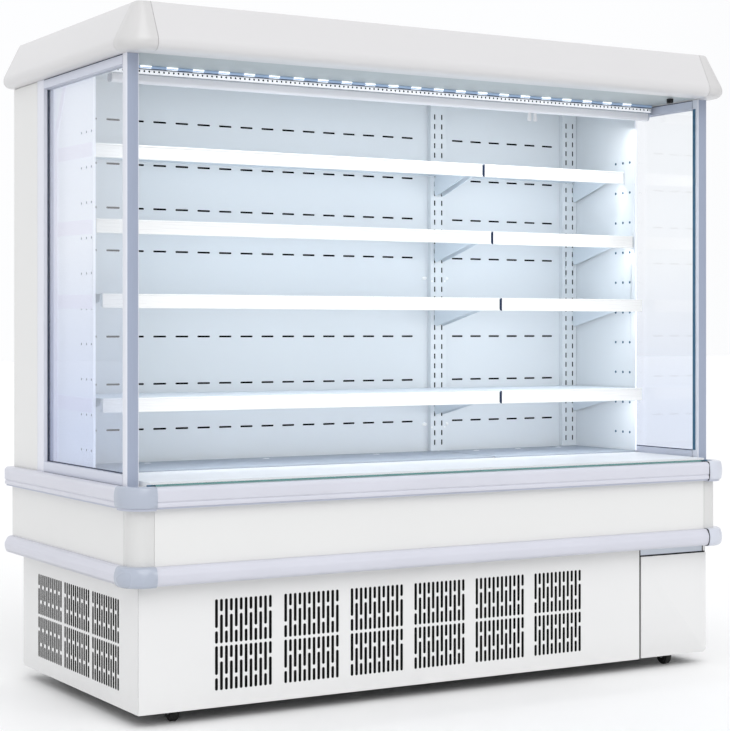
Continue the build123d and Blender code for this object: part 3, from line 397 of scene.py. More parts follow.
finishes = {
    "panel": powderCoat("panelPowderCoat", linear(220, 220, 219), 0.36),
    "base": powderCoat("basePowderCoat", linear(222, 222, 222), 0.36, floorDarkening=0.07),
    "fascia": moulded("fasciaMoulding", linear(208, 207, 208), 0.3, 0.15),
    "fasciaCorner": moulded("fasciaCornerMoulding", linear(200, 199, 199), 0.3, 0.15),
    "cover": moulded("coverMoulding", linear(206, 206, 205), 0.3, 0.1),
    "bumper": drawnPlastic("bumperProfile", linear(203, 204, 214), 0.36, (0.03, 0.03, 1)),
    # darker copy of the bumper colour for recessed feet: painted shade
    "lip": drawnPlastic("bumperLipPaintedShade", linear(184, 188, 203), 0.42, (0.03, 0.03, 1)),
    # the caps take a darker copy of the moulding than the right-hand ones: painted shade
    "cap": moulded("capMouldingShaded", linear(167, 174, 188), 0.28, 0.3),
    "capRight": moulded("rightCapMoulding", linear(200, 204, 215), 0.28, 0.3),
    "frame": anodised("frameSide", linear(222, 224, 233), 0.36, (1, 1, 0.03)),
    # the posts' front faces take a darker copy of the frame colour: painted shade
    "post": anodised("framePostFaceShaded", linear(158, 167, 187), 0.36, (1, 1, 0.03)),
    "rail": anodised("frameRail", linear(205, 209, 222), 0.36, (1, 0.03, 1)),
    "liner": powderCoat("linerCoat", linear(226, 231, 235), 0.42, 0.00008),
    "deckPan": powderCoat("deckPanCoat", linear(158, 167, 179), 0.42, 0.00008),
    # the side liners' outer face glows: painted light
    "side": paintedGlowPlastic("sideLinerPaintedGlow", linear(228, 232, 240), 0.42),
    "shelf": powderCoat("shelfCoat", linear(222, 230, 237), 0.42, 0.00008),
    # ticket rails, upright caps and deck plugs glow: painted light
    "ticket": paintedGlowPlastic("ticketRailPaintedGlow", linear(240, 241, 241), 0.12),
    "frontCover": powderCoat("frontCoverCoat", linear(236, 239, 243), 0.36, 0.00008),
    "soffit": powderCoat("soffitCoat", linear(173, 181, 183), 0.45, 0.00008),
    "foam": powderCoat("bodyCoat", linear(221, 221, 220), 0.38),
    "chassis": powderCoat("chassisCoat", linear(26, 26, 28), 0.5, 0.0002),
    "zinc": galvanised("zincSheet", linear(168, 172, 174), 0.42),
    "fins": anodised("coilFins", linear(176, 178, 180), 0.4, (1, 0.2, 0.02)),
    "copper": anodised("copperPipe", linear(184, 116, 84), 0.35, (1, 1, 1)),
    "black": moulded("blackMoulding", linear(24, 24, 26), 0.45),
    # filter mats, and painted shade on the sheets behind holes and slots
    "mat": blackMat("filterMatAndShadeSheet", linear(8, 7, 7), 0.95),
    "gap": rubber("darkRubberAndGapShade", linear(14, 15, 18), 0.6),
    "gasket": rubber("gasketRubber", linear(52, 62, 84), 0.55),
    # end panes: tint deeper and bluer towards the bottom, painted shade and reflection
    "glass": clearGlass("clearPane", (0.95, 0.965, 0.985), deeper=(0.74, 0.79, 0.90)),
    "riserGlass": clearGlass("riserPane", (0.97, 0.985, 0.985), deeper=(0.36, 0.82, 0.76),
                             low=0.671, high=0.6675),
    "glassEdge": clearGlass("tealGlassEdge", (0.42, 0.80, 0.80)),
    "seal": moulded("paneSeal", linear(46, 92, 120), 0.35),
    "lamp": glowing("lampLens", (0.95, 0.98, 1.0), 1.1),
    "strip": moulded("lampBase", linear(178, 204, 236), 0.3, 0.2),
    "dark": moulded("darkGap", linear(40, 58, 92), 0.5),
    # the outlet's edge strip glows: painted light
    "edgeStrip": paintedGlowPlastic("outletEdgeStripPaintedGlow", linear(236, 238, 242), 0.45),
    "tyre": rubber("wheelRubber", linear(20, 20, 20), 0.6),
    "greyCoat": powderCoat("innerFrameCoat", linear(208, 215, 226), 0.45),
    "barWhite": drawnPlastic("blindRail", linear(236, 237, 243), 0.34, (0.03, 1, 1)),
    # the liner braces glow: painted light
    "brace": paintedGlowPlastic("linerBracePaintedGlow", linear(226, 226, 238), 0.40),
    "knob": moulded("pullTab", linear(240, 240, 243), 0.3, 0.1),
    "cloth": wovenCloth("blindCloth", linear(206, 212, 218)),
    "steel": anodised("castorSteel", linear(150, 154, 158), 0.34, (1, 1, 1)),
    "terminal": moulded("terminalCover", linear(60, 62, 66), 0.5),
}
print("materials made")


# shapes are drawn in millimetres and scaled to metres when a piece is finished

def spaced(first, pitch, count):
    return [first + index * pitch for index in range(count)]


def centred(pitch, count):
    return [(index - (count - 1) / 2) * pitch for index in range(count)]


def shift(bm, x, y, z):
    bmesh.ops.translate(bm, vec=(x, y, z), verts=bm.verts[:])


def stretch(bm, x, y, z):
    bmesh.ops.scale(bm, vec=(x, y, z), verts=bm.verts[:])


def quarterTurn(bm, axis):
    bmesh.ops.rotate(bm, cent=(0, 0, 0), matrix=Matrix.Rotation(math.pi / 2, 3, axis), verts=bm.verts[:])


def moveGrown(bm, grown, run):
    # moves what an extrusion has made
    bmesh.ops.translate(bm, vec=run, verts=[v for v in grown if isinstance(v, bmesh.types.BMVert)])


def firstFace(geom):
    return next(f for f in geom if isinstance(f, bmesh.types.BMFace))


def drawOut(bm, face, run):
    grown = bmesh.ops.extrude_face_region(bm, geom=[face])["geom"]
    moveGrown(bm, grown, run)
    return firstFace(grown)


def roundOff(bm, geom, reach, steps, kind, **more):
    bmesh.ops.bevel(bm, geom=geom, offset=reach, offset_type="OFFSET", segments=steps, profile=0.5,
                    affect=kind, material=-1, **more)


def blockOf(bm, low, high):
    low, high = Vector(low), Vector(high)
    matrix = Matrix.Translation((low + high) / 2) @ Matrix.Diagonal((*(high - low), 1))
    bmesh.ops.create_cube(bm, size=1, matrix=matrix)


def barrel(bm, radius, start, end, segments=24, radiusEnd=None):
    start, end = Vector(start), Vector(end)
    run = end - start
    turn = run.to_track_quat("Z", "Y").to_matrix().to_4x4()
    matrix = Matrix.Translation((start + end) / 2) @ turn
    tip = radius if radiusEnd is None else radiusEnd
    bmesh.ops.create_cone(bm, cap_ends=True, segments=segments, radius1=radius, radius2=tip,
                          depth=run.length, matrix=matrix)


def spun(bm, profile, centre, axis="Z", steps=32):
    # closed outline of (radius, along) points turned about an axis through centre
    centre = Vector(centre)
    ways = {"X": ((0, 1, 0), (1, 0, 0)), "Y": ((1, 0, 0), (0, 1, 0)), "Z": ((1, 0, 0), (0, 0, 1))}
    outward, along = (Vector(way) for way in ways[axis])
    before = set(bm.verts)
    verts = [bm.verts.new(centre + outward * radius + along * place) for radius, place in profile]
    lines = []
    for index, (radius, place) in enumerate(profile):
        if radius > 0 or profile[index - 1][0] > 0:
            lines.append(bm.edges.new((verts[index - 1], verts[index])))
    bmesh.ops.spin(bm, geom=verts + lines, cent=centre, axis=along, angle=2 * math.pi, steps=steps,
                   use_merge=True)
    made = [v for v in bm.verts if v not in before]
    bmesh.ops.remove_doubles(bm, verts=made, dist=0.0001)
    return [v for v in bm.verts if v not in before]


def flip(bm):
    # the same shapes again at the other end of the cabinet
    bmesh.ops.mirror(bm, geom=bm.verts[:] + bm.edges[:] + bm.faces[:],
                     matrix=Matrix.Identity(4), merge_dist=0.0, axis="X")


def roundedFace(bm, verts, rounds):
    # rounds: which corners are rounded, by what reach and in how many steps
    before = set(bm.faces)
    bm.faces.new(verts)
    for index, (reach, steps) in (rounds or {}).items():
        roundOff(bm, [verts[index]], reach, steps, "VERTICES")
    return next(face for face in bm.faces if face not in before)


def sectionFace(bm, section, rounds=None):
    # section drawn as (outwards, height) over the front, at the left corner's centre
    verts = [bm.verts.new((-cornerX, front - out, z)) for out, z in section]
    return roundedFace(bm, verts, rounds)


def alongFront(bm, section, x0, x1, rounds=None):
    face = sectionFace(bm, section, rounds)
    bmesh.ops.translate(bm, vec=(x0 + cornerX, 0, 0), verts=face.verts[:])
    drawOut(bm, face, (x1 - x0, 0, 0))


def alongEnd(bm, section, y0, y1, rounds=None):
    face = sectionFace(bm, section, rounds)
    bmesh.ops.rotate(bm, cent=(-cornerX, cornerY, 0), matrix=Matrix.Rotation(-math.pi / 2, 3, "Z"),
                     verts=face.verts[:])
    bmesh.ops.translate(bm, vec=(0, y0 - cornerY, 0), verts=face.verts[:])
    drawOut(bm, face, (0, y1 - y0, 0))


def roundCorner(bm, section, rounds=None, steps=12, stub=19.5):
    face = sectionFace(bm, section, rounds)
    bmesh.ops.translate(bm, vec=(stub, 0, 0), verts=face.verts[:])
    face = drawOut(bm, face, (-stub, 0, 0))
    turned = bmesh.ops.spin(bm, geom=[face] + face.edges[:] + face.verts[:], cent=(-cornerX, cornerY, 0),
                            axis=(0, 0, 1), angle=-math.pi / 2, steps=steps)
    drawOut(bm, firstFace(turned["geom_last"]), (0, stub, 0))


def prism(bm, corners, run, rounds):
    verts = [bm.verts.new(corner) for corner in corners]
    drawOut(bm, roundedFace(bm, verts, rounds), run)


def bar(bm, section, x0, x1, rounds=None):
    # section drawn as (y, z), drawn out along the cabinet
    prism(bm, [(x0, y, z) for y, z in section], (x1 - x0, 0, 0), rounds)


def upright(bm, section, z0, z1, rounds=None):
    # section drawn as (x, y), drawn out upwards
    prism(bm, [(x, y, z0) for x, y in section], (0, 0, z1 - z0), rounds)


def railAlong(bm, section, y0, y1, rounds=None):
    # section drawn as (x, z), drawn out towards the back
    prism(bm, [(x, y0, z) for x, z in section], (0, y1 - y0, 0), rounds)


def bentSheet(bm, path, x0, x1, radius):
    # middle surface of a folded sheet, path drawn as (y, z), with round bends
    before = set(bm.edges)
    verts = [bm.verts.new((x0, y, z)) for y, z in path]
    lines = [bm.edges.new(pair) for pair in zip(verts, verts[1:])]
    grown = bmesh.ops.extrude_edge_only(bm, edges=lines)["geom"]
    moveGrown(bm, grown, (x1 - x0, 0, 0))
    folds = [e for e in bm.edges if e not in before and len(e.link_faces) == 2]
    roundOff(bm, folds, radius, 4, "EDGES")


def softEdges(piece, width, segments=2, angle=32):
    bevel = piece.modifiers.new("softEdge", "BEVEL")
    bevel.width = width / 1000
    bevel.segments = segments
    bevel.limit_method = "ANGLE"
    bevel.angle_limit = math.radians(angle)
    bevel.harden_normals = True


def toMetres(bm):
    stretch(bm, 0.001, 0.001, 0.001)
    for face in bm.faces:
        face.smooth = True


def pieceOf(name, bm, materials):
    mesh = bpy.data.meshes.new(name)
    bm.to_mesh(mesh)
    bm.free()
    piece = bpy.data.objects.new(name, mesh)
    scene.collection.objects.link(piece)
    for material in materials:
        mesh.materials.append(material)
    return piece


def finishPiece(name, bm, finish, replaces=None, *, slot, body="cabinet", edge=0.8, segments=2, sharp=32,
                thick=0.0):
    # edge, thick: width of the softened edges and thickness of a sheet drawn flat, in millimetres
    bmesh.ops.recalc_face_normals(bm, faces=bm.faces[:])
    toMetres(bm)
    for line in bm.edges:
        line.smooth = len(line.link_faces) == 2 and line.calc_face_angle(0) < math.radians(sharp)
    wanted = [finish] if isinstance(finish, str) else finish
    piece = pieceOf(name, bm, [finishes[one] for one in wanted])
    if thick:
        wall = piece.modifiers.new("sheet", "SOLIDIFY")
        wall.thickness = thick / 1000
        wall.offset = 0
        wall.use_even_offset = True
    if edge:
        softEdges(piece, edge, segments, sharp)
    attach(piece, body)
    if replaces:
        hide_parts(replaces)


def blockPiece(name, blocks, finish, replaces=None, both=False, **facts):
    # a piece of plain blocks, once more at the other end where both is set
    bm = bmesh.new()
    for low, high in blocks:
        blockOf(bm, low, high)
    if both:
        flip(bm)
    finishPiece(name, bm, finish, replaces, **facts)


def paintFaces(bm, index, inside):
    # faces whose middle passes the test take another of the piece's materials
    for face in bm.faces:
        if inside(face.calc_center_median()):
            face.material_index = index


def dress(node, finish, edge):
    # a frame node that keeps its own mesh
    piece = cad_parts[node]
    piece.data.materials.clear()
    piece.data.materials.append(finishes[finish])
    weld = piece.modifiers.new("weld", "WELD")
    weld.merge_threshold = 0.00001
    flat = piece.modifiers.new("flatFaces", "DECIMATE")
    flat.decimate_type = "DISSOLVE"
    flat.angle_limit = math.radians(1)
    softEdges(piece, edge)
    piece.data.shade_smooth()


def box(x0, x1, z0, z1):
    return [(x0, z0), (x1, z0), (x1, z1), (x0, z1)]


def closedLoop(bm, outline):
    # edges of an outline drawn in the plane y = 0
    rim = [bm.verts.new((x, 0, z)) for x, z in outline]
    return [bm.edges.new((vert, rim[index - 1])) for index, vert in enumerate(rim)]


def fillFlat(bm, edges):
    bmesh.ops.triangle_fill(bm, edges=edges, use_beauty=False, use_dissolve=False, normal=(0, -1, 0))


def thicken(bm, thickness):
    grown = bmesh.ops.extrude_face_region(bm, geom=bm.faces[:])["geom"]
    moveGrown(bm, grown, (0, thickness, 0))


def holeOutline(bm, middle, width, height, rounding, steps):
    # loop of a slot with rounded ends in the plane y = 0
    verts = bmesh.ops.create_grid(bm, x_segments=1, y_segments=1, size=0.5)["verts"]
    bmesh.ops.scale(bm, vec=(width, height, 1), verts=verts)
    bmesh.ops.rotate(bm, cent=(0, 0, 0), matrix=Matrix.Rotation(math.pi / 2, 3, "X"), verts=verts)
    bmesh.ops.translate(bm, vec=(middle[0], 0, middle[1]), verts=verts)
    roundOff(bm, verts, rounding, steps, "VERTICES")


def piercedSheet(bm, outline, holes, thickness):
    # sheet in the plane y = 0 with holes (middle, width, height, rounding, steps), thickness towards +y
    for hole in holes:
        holeOutline(bm, *hole)
    bmesh.ops.delete(bm, geom=bm.faces[:], context="FACES_ONLY")
    closedLoop(bm, outline)
    fillFlat(bm, bm.edges[:])
    thicken(bm, thickness)


def toEnd(bm, x):
    # turns a sheet drawn in the plane y = 0 to stand across an end of the cabinet
    quarterTurn(bm, "Z")
    stretch(bm, -1, 1, 1)
    shift(bm, x, 0, 0)


def layFlat(bm, y, z):
    # turns a sheet drawn in the plane y = 0 to lie level
    quarterTurn(bm, "X")
    shift(bm, 0, y, z)


def screwHeads(bm, places, way, radius=4.2):
    # low domed heads that stand on a sheet and point along way
    way = Vector(way)
    for place in places:
        place = Vector(place)
        barrel(bm, radius, place - way * 0.5, place + way * 0.7, 12)
        barrel(bm, radius * 0.92, place + way * 0.7, place + way * 1.5, 12, radius * 0.5)


grille = {
    "slotWidth": 9.0, "slotLong": 81.0, "slotShort": 35.0, "slotGap": 9.0, "rowGap": 7.0, "top": 341.0,
    "columns": 12, "round": 4.35, "border": 6.0, "frontFirst": 323.0, "frontPitch": 220.0, "frontBlocks": 6,
    "frontColumn": 15.5, "endFirst": 236.0, "endPitch": 221.0, "endBlocks": 3, "endColumn": 17.0,
    "sheet": 1.2, "endSheet": 0.6, "endSlot": 12.0, "frontRight": 734.5, "cut": 10.0, "mat": 5.0,
    "matGap": 0.6,
}


def slotColumn(x, column, wide):
    # one column of slots in both half blocks, long and short ones changing places
    holes = []
    longSlot, shortSlot, gap = grille["slotLong"], grille["slotShort"], grille["slotGap"]
    for halfBlock in range(2):
        top = grille["top"] - halfBlock * (longSlot + shortSlot + gap + grille["rowGap"])
        upper, lower = (longSlot, shortSlot) if column % 2 == 0 else (shortSlot, longSlot)
        holes.append(((x, top - upper / 2), wide, upper, grille["round"], 3))
        holes.append(((x, top - upper - gap - lower / 2), wide, lower, grille["round"], 3))
    return holes


def blockFoot():
    # foot of the lowest slots
    column = grille["slotLong"] + grille["slotShort"] + grille["slotGap"]
    return grille["top"] - 2 * column - grille["rowGap"]


def slottedSheet(bm, outline, middles, pitch, wide, thickness):
    # every column of slots fills its own strip, then the plain sheet is filled round the blocks
    high = grille["top"] + grille["border"]
    low = blockFoot() - grille["border"]
    for middle in middles:
        for column, place in enumerate(centred(pitch, grille["columns"])):
            before = set(bm.edges)
            x = middle + place
            for hole in slotColumn(x, column, wide):
                holeOutline(bm, *hole)
            fresh = [e for e in bm.edges if e not in before]
            bmesh.ops.delete(bm, geom=list({f for e in fresh for f in e.link_faces}), context="FACES_ONLY")
            fillFlat(bm, fresh + closedLoop(bm, box(x - pitch / 2, x + pitch / 2, low, high)))
    bmesh.ops.remove_doubles(bm, verts=bm.verts[:], dist=0.01)
    reach = grille["columns"] * pitch / 2

    def onBlock(edge):
        # an open edge on the rim of a block of slots
        places = [vert.co for vert in edge.verts]
        level = all(abs(p.z - low) < 0.1 or abs(p.z - high) < 0.1 for p in places)
        beside = any(all(abs(abs(p.x - middle) - reach) < 0.1 for p in places) for middle in middles)
        return len(edge.link_faces) == 1 and (level or beside)

    border = [edge for edge in bm.edges if onBlock(edge)]
    fillFlat(bm, border + closedLoop(bm, outline))
    thicken(bm, thickness)


def makeBasePanels():
    low, high, thin = cabinet["skirt"], cabinet["baseTop"], grille["sheet"]
    centres = spaced(-half + grille["frontFirst"], grille["frontPitch"], grille["frontBlocks"])
    bm = bmesh.new()
    right = grille["frontRight"]
    slottedSheet(bm, box(-half, right, low, high), centres, grille["frontColumn"], grille["slotWidth"], thin)
    shift(bm, 0, front, 0)
    inner = front + thin
    blockOf(bm, (-half + 3, inner, low), (right - 2, inner + 8, low + 2))
    blockOf(bm, (-half + 3, inner, high - 2), (right - 2, inner + 27, high))
    blockOf(bm, (right - 2, inner, low), (right, inner + 18, high))
    finishPiece("frontGrillePanel", bm, "base", "front_grille_panel", slot="white_panel",
                edge=0.5, segments=1)

    bottom = blockFoot()
    wide = grille["columns"] * grille["frontColumn"] / 2 + 6
    bm = bmesh.new()
    for centre in centres:
        y0 = inner + grille["matGap"]
        blockOf(bm, (centre - wide, y0, bottom - 8), (centre + wide, y0 + grille["mat"], grille["top"] + 8))
        for z in (bottom - 8, grille["top"] + 5):
            blockOf(bm, (centre - wide - 3, inner, z), (centre + wide + 3, y0 + grille["mat"] + 1, z + 3))
    finishPiece("frontFilterMats", bm, "mat", slot="chassis_black", edge=0.8, segments=1)

    bm = bmesh.new()
    middles = spaced(front + grille["endFirst"], grille["endPitch"], grille["endBlocks"])
    y0, y1, cut = front + 2.5, cabinet["baseRear"], grille["cut"]
    outline = [(y0, low), (y1 - cut, low), (y1, low + cut), (y1, high), (y0, high)]
    endThin = grille["endSheet"]
    slottedSheet(bm, outline, middles, grille["endColumn"], grille["endSlot"], endThin)
    toEnd(bm, -half)
    finishPiece("leftGrillePanel", bm, "base", "left_grille_panel", slot="white_panel", edge=0.5, segments=1)

    wide = grille["columns"] * grille["endColumn"] / 2 + 4
    x0 = -half + endThin + 0.1
    mats = [((x0, middle - wide, bottom - 8), (x0 + 0.6, middle + wide, grille["top"] + 8))
            for middle in middles]
    blockPiece("leftFilterMats", mats, "mat", slot="chassis_black", edge=0.0)


vents = {"fromRear": (150, 110, 70), "heights": (90.0, 102.0, 114.0), "size": (26.0, 5.0, 2.2, 3)}


def makeRightEnd():
    low, high, cut = cabinet["skirt"], cabinet["baseTop"], grille["cut"]
    y0, y1, thin = front + 26.0, cabinet["baseRear"], grille["sheet"]
    bm = bmesh.new()
    holes = [((y1 - back, z), *vents["size"]) for back in vents["fromRear"] for z in vents["heights"]]
    piercedSheet(bm, [(y0, low), (y1 - cut, low), (y1, low + cut), (y1, high), (y0, high)], holes, thin)
    toEnd(bm, half - thin)
    inner = half - thin
    screwHeads(bm, [(half - 0.1, y, z) for y in (y0 + 60, 20.0, y1 - 60) for z in (high - 16, low + 16)],
               (1, 0, 0), 3.6)
    blockOf(bm, (inner - 10, y1 - 2, low + 22), (inner, y1, high))
    finishPiece("rightEndPanel", bm, "base", "right_end_panel", slot="white_panel", edge=0.5, segments=1)


rearCover = {
    "low": 57.0, "side": 1011.5, "louvreWidth": 300.0, "louvrePitch": 380.0, "louvreTop": 282.0,
    "louvreRise": 42.0, "hood": 7.0, "glandX": 753.5, "glandZ": 332.0, "bore": 5.0,
}


def makeRearCover():
    low, high, y = rearCover["low"], cabinet["baseTop"], cabinet["baseRear"]
    side, wide, hood = rearCover["side"], rearCover["louvreWidth"], rearCover["hood"]
    glandX, glandZ, bore = rearCover["glandX"], rearCover["glandZ"], rearCover["bore"]
    columns = centred(rearCover["louvrePitch"], 3)
    rows = spaced(rearCover["louvreTop"], -rearCover["louvreRise"], 4)
    bm = bmesh.new()
    holes = [((x, z), wide, 12.0, 5.0, 4) for x in columns for z in rows]
    holes.append(((glandX, glandZ), 14.0, 14.0, 6.9, 6))
    piercedSheet(bm, box(-side, side, low, high), holes, 2.0)
    shift(bm, 0, y - 2, 0)
    for x in columns:
        for z in rows:
            x0, x1 = x - wide / 2 - 4, x + wide / 2 + 4
            bar(bm, [(y - 0.2, z + 11), (y + hood, z - 5), (y + hood, z - 7), (y + hood - 1.3, z - 7),
                     (y + hood - 1.5, z - 5), (y - 0.2, z + 8.4)], x0, x1, {1: (3, 3)})
            for end in (x0, x1 - 1.2):
                bar(bm, [(y - 0.2, z + 11), (y + hood - 0.4, z - 5), (y + hood - 0.4, z - 7),
                         (y - 0.2, z - 7)], end, end + 1.2)
    edgeXs = spaced(-side + 14, (2 * side - 28) / 6, 7)
    screwHeads(bm, [(x, y, z) for x in edgeXs for z in (high - 12, low + 12)], (0, 1, 0), 3.8)
    finishPiece("rearCover", bm, "base", "rear_cover", slot="white_panel", edge=0.5, segments=1)
    bm = bmesh.new()
    spun(bm, [(bore, -12), (9.0, -12), (9.0, 2.2), (7.8, 3.4), (7.8, 5.6), (6.6, 8.0), (bore, 8.0)],
         (glandX, y, glandZ), "Y", 24)
    spun(bm, [(7.0, 0.2), (11.4, 0.2), (11.4, 3.4), (10.6, 4.0), (7.0, 4.0)], (glandX, y, glandZ), "Y", 6)
    for y1 in (y - 7, y - 3):
        spun(bm, [(9.0, y1 - y), (12.5, y1 - y), (12.5, y1 - y + 3.5), (9.0, y1 - y + 3.5)],
             (glandX, y, glandZ), "Y", 6)
    finishPiece("cordGland", bm, "black", slot="chassis_black", edge=0.3)


def makeDoorTrim():
    # dark strips behind the joints round the door, painted shade for the gaps; white end strip of the frame
    # above it
    y0, y1 = front + 3.6, front + 4.9
    left, right, top = grille["frontRight"], half - 10.5, 389
    joints = [((left + 0.2, y0, 40), (left + 7.2, y1, top)), ((left + 7.2, y0, 365), (half - 2.2, y1, 370.4)),
              ((right - 3, y0, 370.4), (right, y1, top))]
    blockPiece("doorGapShade", joints, "gap", slot="frame_grey", edge=0.3, segments=1)
    blockPiece("doorFrameEnd", [((right, y0 - 0.4, 371), (half - 0.6, y1, 391.4))], "base",
               slot="white_panel", edge=0.5)


makeBasePanels()
makeRightEnd()
makeRearCover()
makeDoorTrim()
dress("door_frame", "greyCoat", 0.5)
dress("service_door", "base", 1.0)
print("base panels made")

bumpers = {
    "tubOut": 28.0, "out": 55.6, "lowZ": 394.0, "lowHeight": 54.0, "highZ": 607.0, "highHeight": 60.0,
    "capProud": 3.6, "bandOut": 30.0, "lip": 5.0, "under": 4.0,
}


def lowerSection(out):
    low = bumpers["lowZ"]
    high = low + bumpers["lowHeight"]
    inner = bumpers["tubOut"]
    return [(inner, low), (out - 9, low), (out, low + 16), (out, high - 20), (out - 12, high), (inner, high)]


def upperSection():
    low, out, inner, lip = bumpers["highZ"], bumpers["out"], bumpers["tubOut"], bumpers["lip"]
    high = low + bumpers["highHeight"]
    return [(inner, low), (out - 6, low), (out - 6, low + lip), (out - 1, low + lip), (out - 1, low + 15),
            (out - 3.6, low + 18), (out, low + 22), (out, high), (inner, high)]


def roundCabinet(name, section, rounds, finish, nodes, slot, edge, under=0.0, back=rear, inside=None):
    # a profile along the front, then the pair of it along both ends
    for part, node in zip(("Front", "Ends"), nodes):
        bm = bmesh.new()
        if part == "Front":
            alongFront(bm, section, -railX - under, railX + under, rounds)
        else:
            alongEnd(bm, section, railY - under, back, rounds)
            flip(bm)
        if inside:
            paintFaces(bm, 1, inside)
        finishPiece(name + part, bm, finish, node, slot=slot, edge=edge)


def makeBumpers():
    out, under = bumpers["out"], bumpers["under"]
    lowRounds = {1: (8, 5), 2: (14, 6), 3: (14, 6), 4: (8, 5)}
    roundCabinet("lowerBumper", lowerSection(out), lowRounds, "bumper", ("lower_bumper",) * 2,
                 "bumper_grey", 0.4, under)
    # the recessed foot of the upper bumper takes a darker copy of the bumper colour: painted shade for the
    # recess
    foot, lipTop = bumpers["highZ"] - 1, bumpers["highZ"] + bumpers["lip"] + 0.2
    roundCabinet("upperBumper", upperSection(), {3: (2, 2), 4: (2.5, 3), 6: (2.5, 3), 7: (13, 8)},
                 ("bumper", "lip"), ("upper_bumper",) * 2, "bumper_grey", 0.4, under,
                 inside=lambda middle: foot < middle.z < lipTop)

    proud = out + bumpers["capProud"]
    inner, low = bumpers["tubOut"], bumpers["lowZ"] - 2.5
    high = bumpers["lowZ"] + bumpers["lowHeight"] + 1.5
    bm = bmesh.new()
    roundCorner(bm, [(inner, low), (proud - 8, low), (proud, low + 15), (proud, high - 17), (proud - 9, high),
                     (inner, high)], lowRounds, stub=17)
    low = bumpers["highZ"] - 4
    high = bumpers["highZ"] + bumpers["highHeight"] + 2
    roundCorner(bm, [(inner, low), (proud - 9, low), (proud - 9, low + 6), (proud - 3, low + 7),
                     (proud, low + 22), (proud, high - 16), (proud - 6, high), (inner, high)],
                {1: (1.5, 2), 3: (3, 4), 4: (12, 5), 5: (12, 6), 6: (6, 4)}, stub=17)
    # the outer rims of both ends are rounded over
    def outward(place):
        return max(abs(place.x + cornerX), cornerY - place.y)

    rims = [e for f in bm.faces if len(f.verts) > 12 for e in f.edges
            if max(outward(v.co) for v in e.verts) > inner + 1]
    roundOff(bm, rims, 3.2, 4, "EDGES", clamp_overlap=True)
    flip(bm)
    capHigh = high
    # caps at the right end keep the plain moulding colour; those at the left take the darker copy, painted
    # shade
    paintFaces(bm, 2, lambda middle: middle.x > 0)
    # the caps' recessed foot takes the darker lip copy, painted shade
    paintFaces(bm, 1, lambda middle: bumpers["highZ"] - 5 < middle.z < bumpers["highZ"] + 2.2)
    finishPiece("bumperCaps", bm, ("cap", "lip", "capRight"), "bumper_corner_caps",
                slot="bumper_grey", edge=0.0)

    # dark strip in the joint between rail and cap at the right end, painted shade for the gap
    bm = bmesh.new()
    x0, joint = cornerX - 18.6, out + 1.4
    low = bumpers["lowZ"]
    alongFront(bm, [(inner, low - 1.2), (joint - 8, low - 1.2), (joint, low + 15), (joint, low + 37),
                    (joint - 9, low + 55), (inner, low + 55)], x0, x0 + 3, lowRounds)
    low = bumpers["highZ"]
    alongFront(bm, [(inner, low - 1.2), (joint - 6, low - 1.2), (joint - 1, low + 8), (joint, low + 22),
                    (joint, capHigh - 18), (joint - 4, capHigh - 0.6), (inner, capHigh - 0.6)], x0, x0 + 3,
               {1: (3, 3), 3: (8, 4), 4: (12, 6), 5: (4, 3)})
    finishPiece("capGapShade", bm, "gap", slot="bumper_grey", edge=0.2, segments=1)


def makeBands():
    low = bumpers["lowZ"] + bumpers["lowHeight"]
    high = bumpers["highZ"]
    inner, out = bumpers["tubOut"], bumpers["bandOut"]
    section = box(inner, out, low, high)
    roundCabinet("bandPanel", section, None, "panel", ("band_panels",) * 2, "white_panel", 0.5)
    bm = bmesh.new()
    roundCorner(bm, section, stub=19)
    flip(bm)
    finishPiece("bandCorners", bm, "cover", "band_corner_covers", slot="white_moulding", edge=0.4)


canopy = {
    "lean": 26.4, "round": 28.0, "skin": 3.0, "flange": -10.0, "over": 58.4,
    "seams": (-330.0, 330.0), "plate": 1.8, "plateIn": -34.6, "slab": 67.0, "notch": 67.4,
}


def canopySection():
    top, lip, skin = cabinet["top"], cabinet["canopyLip"], canopy["skin"]
    lean = math.radians(canopy["lean"])
    tangent = canopy["round"] / math.tan((math.pi / 2 - lean) / 2)
    toe = canopy["over"] - canopy["round"] + tangent
    head = toe - (top - lip) * math.tan(lean)
    section = [(canopy["flange"], lip), (toe, lip), (head, top), (canopy["flange"], top),
               (canopy["flange"], top - skin), (head - 3.0, top - skin),
               (toe - 32.0, lip + 26.0), (toe - 48.0, lip + skin), (canopy["flange"], lip + skin)]
    return section, {1: (tangent, 10), 2: (6, 4)}


def makeCanopy():
    section, rounds = canopySection()
    plate = canopy["plate"]
    roundCabinet("canopy", section, rounds, "fascia", ("canopy_front", "canopy_ends"), "white_moulding", 0.4,
                 back=rear - plate)
    # plates that close the hollow ends and the notch above the columns at the back
    bm = bmesh.new()
    low, top, inner = cabinet["canopyLip"], cabinet["top"], canopy["plateIn"]
    notch = top - canopy["skin"] - canopy["notch"]
    closed = [(inner, low + 0.2), section[1], section[2], (canopy["flange"], top), (canopy["flange"], notch),
              (inner, notch)]
    alongEnd(bm, closed, rear - plate + 0.2, rear, rounds)
    for out, z in ((20.0, low + 18), (-2.0, top - 22), (-22.0, low + 36)):
        screwHeads(bm, [(-half - out, rear - 1.5, z)], (0, 1, 0), 3.2)
    flip(bm)
    finishPiece("canopyEndPlates", bm, "fascia", slot="white_moulding", edge=0.3)
    bm = bmesh.new()
    roundCorner(bm, section, rounds, steps=14, stub=19)
    flip(bm)
    finishPiece("canopyCorners", bm, "fasciaCorner", "canopy_corners", slot="white_moulding", edge=0.4)


